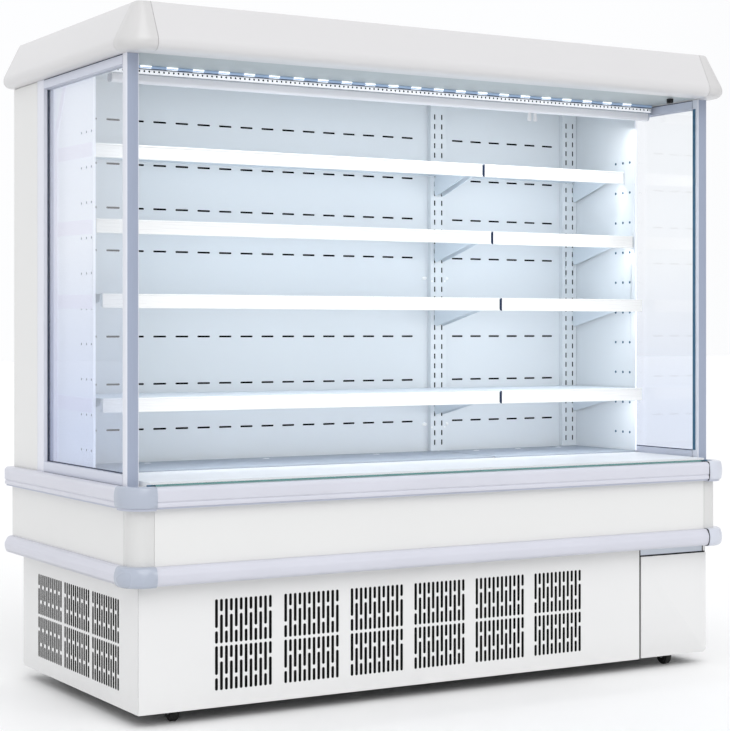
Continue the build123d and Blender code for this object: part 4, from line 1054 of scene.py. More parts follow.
def makeRoof():
    # roof slab in three sheets, lapped and screwed
    x1, y0, top = half - 10.0, front + 10.0, cabinet["top"] - canopy["skin"]
    bottom = top - canopy["slab"]
    seams = (-x1,) + canopy["seams"] + (x1,)
    bm = bmesh.new()
    for left, right in zip(seams, seams[1:]):
        blockOf(bm, (left + 1.0, y0, bottom), (right - 1.0, rear, top))
    for seam in canopy["seams"]:
        blockOf(bm, (seam - 12, y0 + 6, top - 1), (seam + 12, rear - 6, top + 1.2))
        screwHeads(bm, [(seam, y, top + 1.2) for y in spaced(y0 + 60, 200, 5)], (0, 0, 1), 3.4)
    rimIn = linerX + 1.5
    for side in (-1, 1):
        x0, x2 = sorted((side * x1, side * rimIn))
        blockOf(bm, (x0, y0, cabinet["canopyLip"] + canopy["skin"]), (x2, rear - 2.2, bottom - 0.2))
        screwHeads(bm, [(side * (x1 - 24), y, top) for y in spaced(y0 + 80, 190, 5)], (0, 0, 1), 3.4)
    finishPiece("roofPanels", bm, "foam", "roof_panel", slot="foam_panel", edge=1.2)


makeBumpers()
makeBands()
makeCanopy()
makeRoof()
dress("soffit_panel", "soffit", 0.6)
print("bumpers, bands and canopy made")

window = {
    "out": 25.0, "width": 38.0, "postFront": -410.0, "postDepth": 27.0, "rear": 285.0, "stile": 55.0,
    "lowRail": 33.0, "topRail": 28.0, "round": 3.0, "pane": 8.0, "groove": 9.0, "bite": 7.0,
    "gasket": 2.4, "seam": 1.2, "capJoint": 2.6,
}


def makeWindow(side, word):
    x0 = -half - window["out"]
    x1 = x0 + window["width"]
    xm = (x0 + x1) / 2
    g0, g1 = xm - window["groove"] / 2, xm + window["groove"] / 2
    y0, y1 = window["postFront"], window["rear"]
    yPost, yStile = y0 + window["postDepth"], y1 - window["stile"]
    z0, z1 = cabinet["rimTop"], cabinet["canopyLip"]
    zLow, zTop = z0 + window["lowRail"], z1 - window["topRail"]
    bite, seam, r = window["bite"], window["seam"], window["round"]
    bm = bmesh.new()
    upright(bm, [(x0, y0), (x1, y0), (x1, yPost), (g1, yPost), (g1, yPost - bite), (g0, yPost - bite),
                 (g0, yPost), (x0, yPost)], z0, z1, {0: (r, 4), 1: (r, 4), 2: (1, 2), 7: (1, 2)})
    # the front face takes the darker copy of the frame colour, painted shade
    paintFaces(bm, 1, lambda middle: abs(middle.y - y0) < 0.1)
    upright(bm, [(x0, yStile), (g0, yStile), (g0, yStile + bite), (g1, yStile + bite), (g1, yStile),
                 (x1, yStile), (x1, y1), (x0, y1)], z0, z1, {0: (1, 2), 5: (1, 2), 6: (2, 3), 7: (2, 3)})
    before = set(bm.faces)
    railAlong(bm, [(x0, z0 + 1.5), (x1, z0 + 1.5), (x1, zLow), (g1, zLow), (g1, zLow - bite),
                   (g0, zLow - bite), (g0, zLow), (x0, zLow)], yPost + seam, yStile - seam,
              {0: (2, 3), 7: (2, 3)})
    zCap = z1 - window["capJoint"]
    railAlong(bm, [(x0, zTop), (g0, zTop), (g0, zTop + bite), (g1, zTop + bite), (g1, zTop), (x1, zTop),
                   (x1, zCap), (x0, zCap)], yPost + seam, yStile - seam, {0: (2, 3), 7: (1, 2)})
    for face in bm.faces:
        if face not in before:
            face.material_index = 2
    stretch(bm, side, 1, 1)
    finishPiece(f"windowFrame{word}", bm, ("frame", "post", "rail"), f"glass_frame_{word.lower()}",
                slot="frame_grey", edge=0.3, segments=1)

    # wedge gaskets on both faces of the pane, sealing strip under the bottom rail
    deep = window["gasket"]
    bm = bmesh.new()
    for a, b in ((xm - window["pane"] / 2 - 2.6, xm - window["pane"] / 2 - 0.1),
                 (xm + window["pane"] / 2 + 0.1, xm + window["pane"] / 2 + 2.6)):
        blockOf(bm, (a, yPost - 2, zLow + deep), (b, yPost + deep, zTop - deep))
        blockOf(bm, (a, yStile - deep, zLow + deep), (b, yStile + 2, zTop - deep))
        blockOf(bm, (a, yPost - 2, zLow - 2), (b, yStile + 2, zLow + deep))
        blockOf(bm, (a, yPost - 2, zTop - deep), (b, yStile + 2, zTop + 2))
    blockOf(bm, (x0 + 1.2, yPost, z0 + 0.1), (x1 - 1.2, yStile, z0 + 2.2))
    blockOf(bm, (x0 + 1.0, yPost - 0.5, z0 + 4), (x1 - 1.0, yPost + seam + 0.5, zLow - 1))
    blockOf(bm, (x0 + 1.0, yPost - 0.5, zTop + 1), (x1 - 1.0, yPost + seam + 0.5, z1 - 1))
    blockOf(bm, (x0 + 0.8, yPost + seam + 1, zCap - 0.5), (x1 - 0.8, yStile - seam - 1, z1 - 0.1))
    stretch(bm, side, 1, 1)
    paintFaces(bm, 1, lambda middle: abs(middle.z - zTop) < deep + 3 and yPost < middle.y < yStile)
    finishPiece(f"windowGaskets{word}", bm, ("gasket", "rail"), slot="frame_grey", edge=0.6, segments=2)


def makePanes():
    xm = half + window["out"] - window["width"] / 2
    thick = window["pane"] / 2
    y0 = window["postFront"] + window["postDepth"] - 6
    y1 = window["rear"] - window["stile"] + 6
    z0 = cabinet["rimTop"] + window["lowRail"] - 7
    z1 = cabinet["canopyLip"] - window["topRail"] + 6
    bm = bmesh.new()
    blockOf(bm, (-xm - thick, y0, z0), (-xm + thick, y1, z1))
    for face in bm.faces:
        face.material_index = 0 if abs(face.normal.x) > 0.5 else 1
    flip(bm)
    finishPiece("endPanes", bm, ("glass", "glassEdge"), "side_glass", slot="clear_glass", edge=0.8)
    # painted border along each pane's front edge and on the inner side of the posts
    inner = -xm + thick
    yPost = window["postFront"] + window["postDepth"]
    innerSide = -half - window["out"] + window["width"]
    borders = [((inner + 0.1, yPost + 3.2, z0 + 12), (inner + 0.5, yPost + 8.5, z1 - 10)),
               ((innerSide - 0.1, yPost - 15, z0 + 10), (innerSide + 0.5, yPost - 0.8, z1 - 8))]
    blockPiece("paneBorders", borders, "seal", both=True, slot="frame_grey", edge=0.1, segments=1)


riser = {"side": 988.0, "front": -463.0, "thick": 8.0, "low": 640.0, "high": 673.0}


def makeRiser():
    bm = bmesh.new()
    blockOf(bm, (-riser["side"], riser["front"], riser["low"]),
            (riser["side"], riser["front"] + riser["thick"], riser["high"]))
    for face in bm.faces:
        face.material_index = 0 if abs(face.normal.y) > 0.5 else 1
    finishPiece("glassRiser", bm, ("riserGlass", "glassEdge"), "front_glass_riser", slot="clear_glass",
                edge=1.4, segments=3)
    # end clips that hold the riser to the posts' feet
    x, y = riser["side"], riser["front"]
    clip = (-x - 10, y + 1, 665.2), (-x + 14, y + riser["thick"] + 1.5, 672.8)
    blockPiece("riserClips", [clip], "seal", both=True, slot="frame_grey", edge=1.2, segments=3)


for side, word in ((1, "Left"), (-1, "Right")):
    makeWindow(side, word)
makePanes()
makeRiser()
print("end windows and riser made")

header = {
    "lipFront": -179.0, "lipLow": 1842.0, "lipTop": 1883.0, "side": 992.5, "holePitch": 15.5, "hole": 6.6,
    "holeZ": 1849.2, "stripTop": 1855.0, "lampFront": -187.0, "lampLow": 1857.6, "lampTop": 1865.0,
    "lampSide": 989.5, "modulePitch": 84.0, "module": 36.0, "slotHalf": 6.0, "slotSide": 981.5,
    "rollerY": -146.3, "rollerZ": 1909.5, "rollerR": 20.0, "ductFront": -150.0, "ductRear": -88.0,
    "ductLow": 1844.0, "outletPitch": 13.0, "outlet": (9.0, 24.0, 3.0, 1), "outletShare": 0.26,
    "outletThick": 5.0, "plug": ((898, -392, 1847), (912, -372, 1861.8)),
}


def makeHeader():
    side, y, low, top = header["side"], header["lipFront"], header["lipLow"], header["lipTop"]
    bm = bmesh.new()
    count = int((2 * side - 16) / header["holePitch"])
    size = header["hole"]
    holes = [((x, header["holeZ"]), size, size, size / 2 - 0.05, 2)
             for x in centred(header["holePitch"], count)]
    piercedSheet(bm, box(-side, side, low, top), holes, 1.5)
    shift(bm, 0, y, 0)
    blockOf(bm, (-side, y + 1.5, low), (side, y + 10, low + 1.5))
    yb, ceiling, reach = blind["middle"], top, header["slotHalf"]
    blockOf(bm, (-side, y + 1.5, ceiling - 0.1), (side, yb - reach, ceiling + 1.5))
    blockOf(bm, (-side, yb + reach, ceiling - 0.1), (side, backPanel + 1.5, ceiling + 1.5))
    for end in (-1, 1):
        x0, x1 = sorted((end * side, end * header["slotSide"]))
        blockOf(bm, (x0, yb - reach, ceiling - 0.1), (x1, yb + reach, ceiling + 1.5))
    # the lip's front strip takes the painted glow, painted light that makes it read white
    paintFaces(bm, 1, lambda middle: middle.y < y + 10.1 and middle.z < header["lampLow"])
    finishPiece("ceilingPanel", bm, ("liner", "edgeStrip"), "ceiling_panel", slot="liner_white",
                edge=0.3, segments=1)

    # roller brackets, and a dark sheet behind the row of holes, painted shade seen through them
    bm = bmesh.new()
    wall = header["rollerR"] + 4
    for end in (-1, 1):
        x = end * (half - 36.0)
        ry, rz = header["rollerY"], header["rollerZ"]
        spun(bm, [(header["rollerR"] + 0.05, -1.5), (wall, -1.5), (wall, 1.5),
                  (header["rollerR"] + 0.05, 1.5)], (x, ry, rz), "X", 40)
        blockOf(bm, (x - 1.5, ry - wall, ceiling + 1), (x + 1.5, ry - header["rollerR"] * 0.72, rz))
        blockOf(bm, (x - 1.5, ry + header["rollerR"] * 0.72, ceiling + 1), (x + 1.5, ry + wall, rz))
    finishPiece("rollerBrackets", bm, "zinc", slot="galvanised", edge=0.3, segments=1)
    screen = (-side + 3, y + 1.6, low + 1.6), (side - 3, y + 2.2, header["stripTop"])
    blockPiece("holeShadeSheet", [screen], "mat", slot="chassis_black", edge=0.0)

    # lamp: base strip, lens modules, and below it a dark strip that paints the shadow in the gap
    bm = bmesh.new()
    lampFront, lampLow, lampTop = header["lampFront"], header["lampLow"], header["lampTop"]
    bar(bm, [(y, lampTop), (lampFront + 1.4, lampTop), (lampFront + 1.4, lampLow), (y, lampLow)],
        -header["lampSide"], header["lampSide"], {1: (1, 2), 2: (1.5, 3)})
    finishPiece("lampBase", bm, "strip", "led_strip", slot="light_strip", edge=0.2, segments=1)
    bm = bmesh.new()
    lenses = int((2 * header["lampSide"] - 50) / header["modulePitch"])
    wide = header["module"] / 2
    for x in centred(header["modulePitch"], lenses):
        blockOf(bm, (x - wide, lampFront, lampTop - 4.0), (x + wide, lampFront + 1.6, lampTop - 0.6))
        blockOf(bm, (x - wide, lampFront + 2.0, lampLow - 0.6), (x + wide, y - 2.5, lampLow + 0.2))
    finishPiece("lampLenses", bm, "lamp", slot="light_strip", edge=0.5)
    bm = bmesh.new()
    bar(bm, [(y, lampLow - 0.1), (y - 3.2, lampLow - 0.1), (y - 3.2, header["stripTop"]),
             (y, header["stripTop"])], -header["lampSide"], header["lampSide"], {2: (1, 2)})
    finishPiece("lampGapShadeStrip", bm, "dark", slot="light_strip", edge=0.2, segments=1)

    # small cable box under the soffit near the right end
    blockPiece("lampPlug", [header["plug"]], "gap", slot="light_strip", edge=1.5, segments=3)


def makeDuct():
    # air outlet: folded duct with a grid of slots across its mouth
    y0, y1, low, top = header["ductFront"], header["ductRear"], header["ductLow"], header["lipTop"]
    side = header["lampSide"]
    walls = [((-side, y, low), (side, y + 1.5, top - 0.2)) for y in (y0, y1 - 1.5)]
    blockPiece("airDuctWalls", walls, "liner", "air_header", slot="liner_white", edge=0.3, segments=1)
    bm = bmesh.new()
    pitch, share = header["outletPitch"], header["outletShare"]
    xs = centred(pitch, int((2 * side - 30) / pitch))
    holes = [((x, end * share * (y1 - y0)), *header["outlet"]) for x in xs for end in (-1, 1)]
    wide = (y1 - y0) / 2 - 1.6
    piercedSheet(bm, box(-side, side, -wide, wide), holes, header["outletThick"])
    layFlat(bm, (y0 + y1) / 2, low)
    finishPiece("airOutletGrid", bm, "liner", slot="liner_white", edge=0.0)


blind = {
    "side": 983.5, "front": -180.0, "rear": -154.0, "low": 1813.0, "high": 1838.0, "middle": -167.0,
    "tabX": 503.0, "tabSpread": 23.0, "tabLow": 1786.0, "tabHalf": 7.0,
    "clothSide": 971.5, "clothTop": 1909.5, "clothRows": 24, "wrap": 17.5, "rollerSide": 979.5,
}


def makeBlind():
    y0, y1, low, high = blind["front"], blind["rear"], blind["low"], blind["high"]
    side, ym = blind["side"], blind["middle"]
    bm = bmesh.new()
    bar(bm, [(y0, low + 6), (y0 + 6, low), (y1 - 6, low), (y1, low + 6), (y1, high - 3), (y1 - 3, high),
             (y0 + 3, high), (y0, high - 3)], -side + 4, side - 4,
        {corner: (2.5, 3) if corner < 4 else (1, 2) for corner in range(8)})
    finishPiece("blindBar", bm, "barWhite", "blind_bar", body="blind_bar", slot="blind_rail", edge=0.3)
    bm = bmesh.new()
    for end in (-1, 1):
        x0, x1 = sorted((end * side, end * (side - 5.5)))
        bar(bm, [(y0 + 0.3, low + 6), (y0 + 6, low + 0.3), (y1 - 6, low + 0.3), (y1 - 0.3, low + 6),
                 (y1 - 0.3, high - 3), (y1 - 3, high - 0.3), (y0 + 3, high - 0.3),
                 (y0 + 0.3, high - 3)], x0, x1)
    # the bar's end caps take the darker cap copy, painted shade
    finishPiece("blindBarCaps", bm, "cap", body="blind_bar", slot="blind_rail", edge=1.2, segments=3)
    bm = bmesh.new()
    for end in (-1, 1):
        x, r = blind["tabX"] + end * blind["tabSpread"] / 2, blind["tabHalf"]
        spun(bm, [(0, 0), (r - 1.4, 0), (r - 0.2, 1.6), (r - 0.2, 9), (r - 1.8, 19), (r - 2.2, 27.2),
                  (0, 27.2)], (x, ym, blind["tabLow"]), "Z", 24)
    finishPiece("blindTabs", bm, "knob", body="blind_bar", slot="blind_rail", edge=0.4)

    # free cloth between roller and bar; it lengthens as the bar comes down
    bm = bmesh.new()
    clothSide, top = blind["clothSide"], blind["clothTop"]
    bmesh.ops.create_grid(bm, x_segments=60, y_segments=blind["clothRows"], size=0.5)
    uv = bm.loops.layers.uv.new("clothMap")
    tall = top - high
    for vert in bm.verts:
        x, z = vert.co.x * 2 * clothSide, high + (vert.co.y + 0.5) * tall
        share = math.sin((z - high) / tall * math.pi)
        vert.co = (x, ym + 0.3 * share * math.sin(x * 0.031), z)
    for face in bm.faces:
        for loop in face.loops:
            loop[uv].uv = (loop.vert.co.x, loop.vert.co.z)
    toMetres(bm)
    cloth = pieceOf("blindCloth", bm, [finishes["cloth"]])
    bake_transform(cloth)
    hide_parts("blind_cloth")

    # wound cloth on the roller, with end journals
    bm = bmesh.new()
    ry, rz, wrap = header["rollerY"], header["rollerZ"], blind["wrap"]
    turns = [(wrap - 0.5 * step, clothSide + 0.4 * step) for step in range(4)]
    for radius, reach in turns:
        barrel(bm, radius, (-reach, ry, rz), (reach, ry, rz), 48)
    uv = bm.loops.layers.uv.new("clothMap")
    for face in bm.faces:
        for loop in face.loops:
            turn = math.atan2(loop.vert.co.y - ry, loop.vert.co.z - rz)
            loop[uv].uv = (loop.vert.co.x, turn * wrap)
    finishPiece("blindRoll", bm, "cloth", body="blind_roller", slot="blind_fabric", edge=0.0)
    bm = bmesh.new()
    for end in (-1, 1):
        x = end * clothSide
        run = end * (blind["rollerSide"] - clothSide)
        barrel(bm, header["rollerR"], (x + run * 0.25, ry, rz), (x + run, ry, rz), 48)
        barrel(bm, 5.0, (x + run, ry, rz), (x + run + end * 0.8, ry, rz), 20)
    finishPiece("blindRoller", bm, "zinc", "blind_roller", body="blind_roller", slot="galvanised", edge=0.4)


makeHeader()
makeDuct()
makeBlind()
print("header, lamp and night blind made")

sideLiner = {
    "front": -90.0, "rear": 265.0, "inside": -995.0, "thick": 1.5, "groupPitch": 104.0, "groupLow": 745.0,
    "groups": 10, "groupYs": (-61.0, -23.0, 17.0), "foldY": 234.0, "brace": 26.0, "hole": 8.0,
    "bendTop": 1700.0, "bendLow": 1693.0, "slantY": 150.0, "slantTop": 1868.0,
}


def makeSideLiners():
    y0, y1, thin = sideLiner["front"], sideLiner["rear"], sideLiner["thick"]
    low, high = cabinet["deck"], cabinet["ceiling"]
    size = sideLiner["hole"]
    bm = bmesh.new()
    zs = spaced(sideLiner["groupLow"], sideLiner["groupPitch"], sideLiner["groups"])
    holes = [((y, z), size, size, size / 2 - 0.05, 2) for z in zs for y in sideLiner["groupYs"]]
    piercedSheet(bm, box(y0, y1, low, high), holes, thin)
    toEnd(bm, sideLiner["inside"])
    x = sideLiner["inside"]
    blockOf(bm, (x - 5.5, y0, low), (x, y0 + thin, cabinet["canopyLip"]))
    flip(bm)
    # the outer face, seen through the end panes, takes the painted glow, painted light; the face towards the
    # shelves keeps the plain liner coat
    paintFaces(bm, 1, lambda middle: abs(middle.x) < -x - thin + 0.1)
    finishPiece("sideLiners", bm, ("side", "liner"), "side_liners", slot="liner_white", edge=0.3, segments=1)
    # flat braces on the outer face: upright one, slanted one at the top, cross ones at shelf height; they
    # glow a little, painted light
    foldY, wide, slantY = sideLiner["foldY"], sideLiner["brace"], sideLiner["slantY"]
    bendTop, bendLow, slantTop = sideLiner["bendTop"], sideLiner["bendLow"], sideLiner["slantTop"]
    bm = bmesh.new()
    bar(bm, [(foldY, low + 12), (foldY, bendTop), (foldY - wide, bendLow),
             (foldY - wide, low + 12)], x - 1.4, x)
    bar(bm, [(foldY, bendTop), (slantY, slantTop), (slantY - wide * 1.15, slantTop), (foldY - wide, bendLow)],
        x - 1.4, x)
    barrel(bm, 1.6, (x - 1.4, foldY - 7, low + 20), (x - 1.4, foldY - 7, bendLow - 3), 10)
    for z in shelving["heights"]:
        bar(bm, [(y0 + 22, z - 44), (foldY - wide - 2, z - 40), (foldY - wide - 2, z + 2),
                 (y0 + 22, z - 2)], x - 1.2, x)
    flip(bm)
    finishPiece("linerBraces", bm, "brace", slot="liner_white", edge=0.5)
    # dark snap plugs in the holes
    bm = bmesh.new()
    for z in zs:
        for y in sideLiner["groupYs"]:
            barrel(bm, size / 2 - 0.1, (x + 0.3, y, z), (x + thin - 0.3, y, z), 12)
            barrel(bm, size / 2 + 0.5, (x + thin, y, z), (x + thin + 0.7, y, z), 12)
    flip(bm)
    finishPiece("linerPlugs", bm, "seal", slot="liner_white", edge=0.0)


backWall = {
    "dashWide": 45.0, "dashTall": 6.0, "dashPitch": 77.0, "leftFirst": -945.0, "leftCount": 17,
    "rightFirst": 492.0, "rightCount": 7,
    "rows": (1758.0, 1620.0, 1482.0, 1348.0, 1210.0, 1078.0, 928.0, 785.0),
    "thick": 1.5, "channel": 20.0, "upright": 62.0, "slotPitch": 33.0, "slotTall": 18.0, "slotWide": 5.5,
    "slotSpread": 14.5, "slotLow": 712.0, "slots": 36, "capZs": (774.0, 1278.0), "capOut": 44.0,
}


def makeBackWall():
    low, high, split = cabinet["rimTop"], cabinet["ceiling"], cabinet["split"]
    wide, tall = backWall["dashWide"], backWall["dashTall"]
    edge = linerX + 1.5
    bm = bmesh.new()
    for x0, x1, first, count in ((-edge, split - 0.4, backWall["leftFirst"], backWall["leftCount"]),
                                 (split + 0.4, edge, backWall["rightFirst"], backWall["rightCount"])):
        part = bmesh.new()
        holes = [((x, z), wide, tall, 2.4, 3) for x in spaced(first, backWall["dashPitch"], count)
                 for z in backWall["rows"]]
        piercedSheet(part, box(x0, x1, low, high), holes, backWall["thick"])
        shift(part, 0, backPanel, 0)
        joined = bpy.data.meshes.new("backSheet")
        part.to_mesh(joined)
        part.free()
        bm.from_mesh(joined)
        bpy.data.meshes.remove(joined)
    finishPiece("backPanels", bm, "liner", "back_panels", slot="liner_white", edge=0.0)
    # dark sheet behind the slots, painted shade for the air space
    screen = (-edge + 6, backPanel + 3, low + 20), (edge - 6, backPanel + 5, high - 30)
    blockPiece("airSpaceShadeSheet", [screen], "mat", slot="chassis_black", edge=0.0)


def makeUprights():
    w, deep = backWall["upright"] / 2, backWall["channel"]
    low, high = cabinet["deck"], cabinet["ceiling"]
    y0 = backPanel - deep
    side = linerX - w - 1.0
    spread = backWall["slotSpread"]
    slots = [((x, z), backWall["slotWide"], backWall["slotTall"], 1.2, 2)
             for z in spaced(backWall["slotLow"], backWall["slotPitch"], backWall["slots"]) if z < high - 20
             for x in (-spread, spread)]
    for name, x in (("Left", -side), ("Centre", cabinet["split"]), ("Right", side)):
        bm = bmesh.new()
        piercedSheet(bm, box(-w, w, low, high), slots, 2.0)
        shift(bm, x, y0, 0)
        blockOf(bm, (x - w, y0 + 2.0, low), (x - w + 2, backPanel, high))
        blockOf(bm, (x + w - 2, y0 + 2.0, low), (x + w, backPanel, high))
        finishPiece(f"upright{name}", bm, "liner", "uprights", slot="liner_white", edge=0.5, segments=2)
        shadow = (x - w + 6, y0 + 7, low + 4), (x + w - 6, y0 + 8, high - 4)
        blockPiece(f"uprightShade{name}", [shadow], "mat", slot="chassis_black", edge=0.0)
    # pale oval fixing caps at two heights of the centre upright, with the painted glow of the ticket plastic,
    # painted light
    bm = bmesh.new()
    x = cabinet["split"]
    for z in backWall["capZs"]:
        for dx in (-backWall["capOut"], backWall["capOut"]):
            made = spun(bm, [(0, -1), (6.5, -1), (6.5, 0.5), (4.5, 1.8), (0, 2.2)], (0, 0, 0), "Y", 20)
            bmesh.ops.scale(bm, vec=(1.5, -1, 0.9), verts=made)
            bmesh.ops.translate(bm, vec=(x + dx, backPanel - 1, z), verts=made)
        screwHeads(bm, [(x + dx, y0 + 0.2, z - 10) for dx in (-26.0, 26.0)], (0, -1, 0), 3.2)
    finishPiece("uprightCaps", bm, "ticket", slot="liner_white", edge=0.2, segments=1)


shelving = {
    "rear": 243.0, "fronts": (-29.0, -79.0, -129.0, -129.0), "heights": (1650.0, 1424.0, 1204.0, 900.05),
    "bays": ((-988.5, 396.5), (404.5, 988.5)), "sheet": 1.5, "rearFold": 22.0, "frontFold": 38.0,
    "lip": 14.0, "rail": 6.0, "railTall": 42.0, "arm": 3.0, "armInset": 9.0, "armFront": 40.0,
    "armTip": 20.0, "armRoot": 92.0, "tongue": 2.0,
}


def makeShelf(level):
    z, y0, y1 = shelving["heights"][level - 1], shelving["fronts"][level - 1], shelving["rear"]
    thin, m = shelving["sheet"], shelving["sheet"] / 2
    for bay, (x0, x1) in zip(("Left", "Right"), shelving["bays"]):
        bm = bmesh.new()
        fold = z - shelving["frontFold"] + m
        bentSheet(bm, [(y1 - m - 9, z - shelving["rearFold"] + m), (y1 - m, z - shelving["rearFold"] + m),
                       (y1 - m, z - m), (y0 + m, z - m), (y0 + m, fold), (y0 + shelving["lip"], fold),
                       (y0 + shelving["lip"], fold + 7)], x0, x1, 1.6)
        finishPiece(f"shelf{level}{bay}", bm, "shelf", f"shelf_{level}", slot="shelf_white", edge=0.25,
                    segments=1, thick=thin)
        # stiffening channels under the deck
        bm = bmesh.new()
        for share in (0.3, 0.7) if bay == "Left" else (0.5,):
            x = x0 + (x1 - x0) * share
            bar(bm, [(y0 + 16, z - thin - 0.1), (y1 - 24, z - thin - 0.1), (y1 - 30, z - thin - 10),
                     (y0 + 22, z - thin - 10)], x - 16, x + 16, {2: (3, 2), 3: (3, 2)})
        finishPiece(f"shelfRib{level}{bay}", bm, "shelf", slot="shelf_white", edge=1.0)


def makeTicketRails():
    thin = shelving["tongue"]
    tall, deep = shelving["railTall"], shelving["rail"]
    for level, (z, y1) in enumerate(zip(shelving["heights"], shelving["fronts"]), start=1):
        y0, low = y1 - deep, z - tall
        for bay, (x0, x1) in zip(("Left", "Right"), shelving["bays"]):
            bm = bmesh.new()
            bar(bm, [(y1, z), (y0 + 1, z), (y0, z - 1), (y0, z - 4), (y0 + 1.6, z - 4.4), (y0 + thin, z - 6),
                     (y0 + thin, low + 6), (y0 + 1.6, low + 4.4), (y0, low + 4), (y0, low + 1), (y0 + 1, low),
                     (y1, low)], x0 + 0.5, x1 - 0.5, {1: (0.6, 2), 2: (0.6, 2), 3: (0.5, 2), 4: (0.5, 2),
                                                      7: (0.5, 2), 8: (0.5, 2), 9: (0.6, 2), 10: (0.6, 2)})
            # the rails take the painted glow of the ticket plastic, painted light
            finishPiece(f"ticketRailPaintedGlow{level}{bay}", bm, "ticket", "price_rails", slot="ticket_white", edge=0.0)
        # end caps that close the rails on both sides of the joint
        left, right = shelving["bays"][0][1], shelving["bays"][1][0]
        caps = [((x, y0 + 0.6, low + 0.6), (x + 2.0, y1 - 0.4, z - 0.6)) for x in (left - 0.4, right - 1.6)]
        caps.append(((left + 1.8, y0 + 4.5, low + 2), (right - 1.8, y1, z - 3)))
        blockPiece(f"ticketCaps{level}", caps, "dark", slot="ticket_white", edge=0.3, segments=1)


def makeBrackets():
    for level, (z, shelfFront) in enumerate(zip(shelving["heights"], shelving["fronts"]), start=1):
        top = z - shelving["sheet"]
        y0, y1 = shelfFront + shelving["armFront"], backPanel - backWall["channel"]
        bm = bmesh.new()
        for x0, x1 in shelving["bays"]:
            for x in (x0 + shelving["armInset"], x1 - shelving["armInset"] - shelving["arm"]):
                bar(bm, [(y0, top), (shelving["rear"] - 4, top), (shelving["rear"] - 4, top - 26),
                         (y1, top - 26), (y1, top - shelving["armRoot"]), (y0, top - shelving["armTip"])], x,
                    x + shelving["arm"], {0: (3, 3), 4: (14, 5), 5: (8, 5)})
                # hooked tabs that drop into the upright's slots
                for hook in (top - 34, top - 67):
                    blockOf(bm, (x + 0.4, y1 - 1, hook - 14), (x + 2.6, y1 + 1.6, hook))
        finishPiece(f"bracketArms{level}", bm, "shelf", "shelf_brackets", slot="shelf_white", edge=0.6)


deck = {
    "front": -95.0, "rear": 244.0, "fold": 18.0, "coverFront": -454.5, "coverRear": -101.0, "coverTop": 679.0,
    "coverLow": 665.0, "side": 988.5, "slotWide": 60.0, "slotPitch": 76.0, "slotRows": (-142.0, -126.0),
}


def makeDeck():
    z, m = cabinet["deck"], shelving["sheet"] / 2
    for bay, (x0, x1) in zip(("Left", "Right"), shelving["bays"]):
        bm = bmesh.new()
        bentSheet(bm, [(deck["rear"], z - m), (deck["front"] + m, z - m),
                       (deck["front"] + m, z - deck["fold"])], x0, x1, 1.8)
        finishPiece(f"deckPan{bay}", bm, "deckPan", "deck_pans", slot="shelf_white", edge=0.25,
                    segments=1, thick=1.5)
        bm = bmesh.new()
        for share in (0.2, 0.5, 0.8):
            x = x0 + (x1 - x0) * share
            spun(bm, [(0, 0.05), (11, 0.05), (11, 0.5), (8.5, 0.9), (0, 0.9)], (x, 190, z), "Z", 28)
        # the plugs take the painted glow of the ticket plastic, painted light
        finishPiece(f"deckPlugs{bay}", bm, "ticket", slot="shelf_white", edge=0.1, segments=1)
    side, top, low = deck["side"], deck["coverTop"], deck["coverLow"]
    y0, y1 = deck["coverFront"], deck["coverRear"]
    bm = bmesh.new()
    count = int((2 * side - 60) / deck["slotPitch"])
    holes = [((x, -y), deck["slotWide"], 8.0, 3.4, 3) for x in centred(deck["slotPitch"], count)
             for y in deck["slotRows"]]
    piercedSheet(bm, box(-side, side, -y1, -y0), holes, 1.5)
    layFlat(bm, 0, top - 1.5)
    blockOf(bm, (-side, y0, low), (side, y0 + 1.5, top - 0.4))
    blockOf(bm, (-side, y1 - 1.5, low), (side, y1, top - 0.4))
    for end in (-1, 1):
        x0, x1 = sorted((end * side, end * (side - 1.5)))
        blockOf(bm, (x0, y0 + 1.5, low), (x1, y1 - 1.5, top - 1.5))
    finishPiece("frontCover", bm, "frontCover", "return_grille", slot="shelf_white", edge=0.4)
    # dark sheet under the cover's slots, painted shade for the space below
    screen = (-side + 4, y1 - 52, low + 0.5), (side - 4, y1 - 14, low + 1.5)
    blockPiece("returnShadeSheet", [screen], "mat", slot="chassis_black", edge=0.0)


makeSideLiners()
makeBackWall()
makeUprights()
for level in range(1, 5):
    makeShelf(level)
makeTicketRails()
makeBrackets()
makeDeck()
print("inside made")

body = {
    "columnIn": 978.5, "columnOut": 1038.5, "columnFront": 285.0, "wallFront": 435.0, "wallTop": 1935.0,
    "seams": (-326.0, 326.0), "beads": (900.0, 1180.0, 1460.0),
}


def makeRearBody():
    low, lip = cabinet["rimTop"], cabinet["canopyLip"]
    side = body["columnIn"]
    column = (-body["columnOut"], body["columnFront"] + 0.6, low), (-side, rear, lip - 0.4)
    blockPiece("rearColumns", [column], "foam", "rear_columns", both=True, slot="foam_panel",
               edge=3.0, segments=4)
    bm = bmesh.new()
    blockOf(bm, (-side, body["wallFront"], low), (side, rear - 2.2, body["wallTop"]))
    edges = (-side + 1,) + body["seams"] + (side - 1,)
    for x0, x1 in zip(edges, edges[1:]):
        blockOf(bm, (x0 + 0.8, rear - 2.3, low + 2), (x1 - 0.8, rear - 0.9, body["wallTop"] - 2))
        for z in body["beads"]:
            bar(bm, [(rear - 1.0, z - 9), (rear - 0.1, z - 6), (rear - 0.1, z + 6), (rear - 1.0, z + 9)],
                x0 + 60, x1 - 60, {1: (2, 2), 2: (2, 2)})
        screwHeads(bm, [(x, rear - 1.6, z) for z in spaced(low + 40, 200, 7) for x in (x0 + 14, x1 - 14)],
                   (0, 1, 0), 3.2)
    finishPiece("rearWall", bm, "foam", "rear_wall", slot="foam_panel", edge=0.5, segments=1)
    dress("insulated_tub", "foam", 1.0)


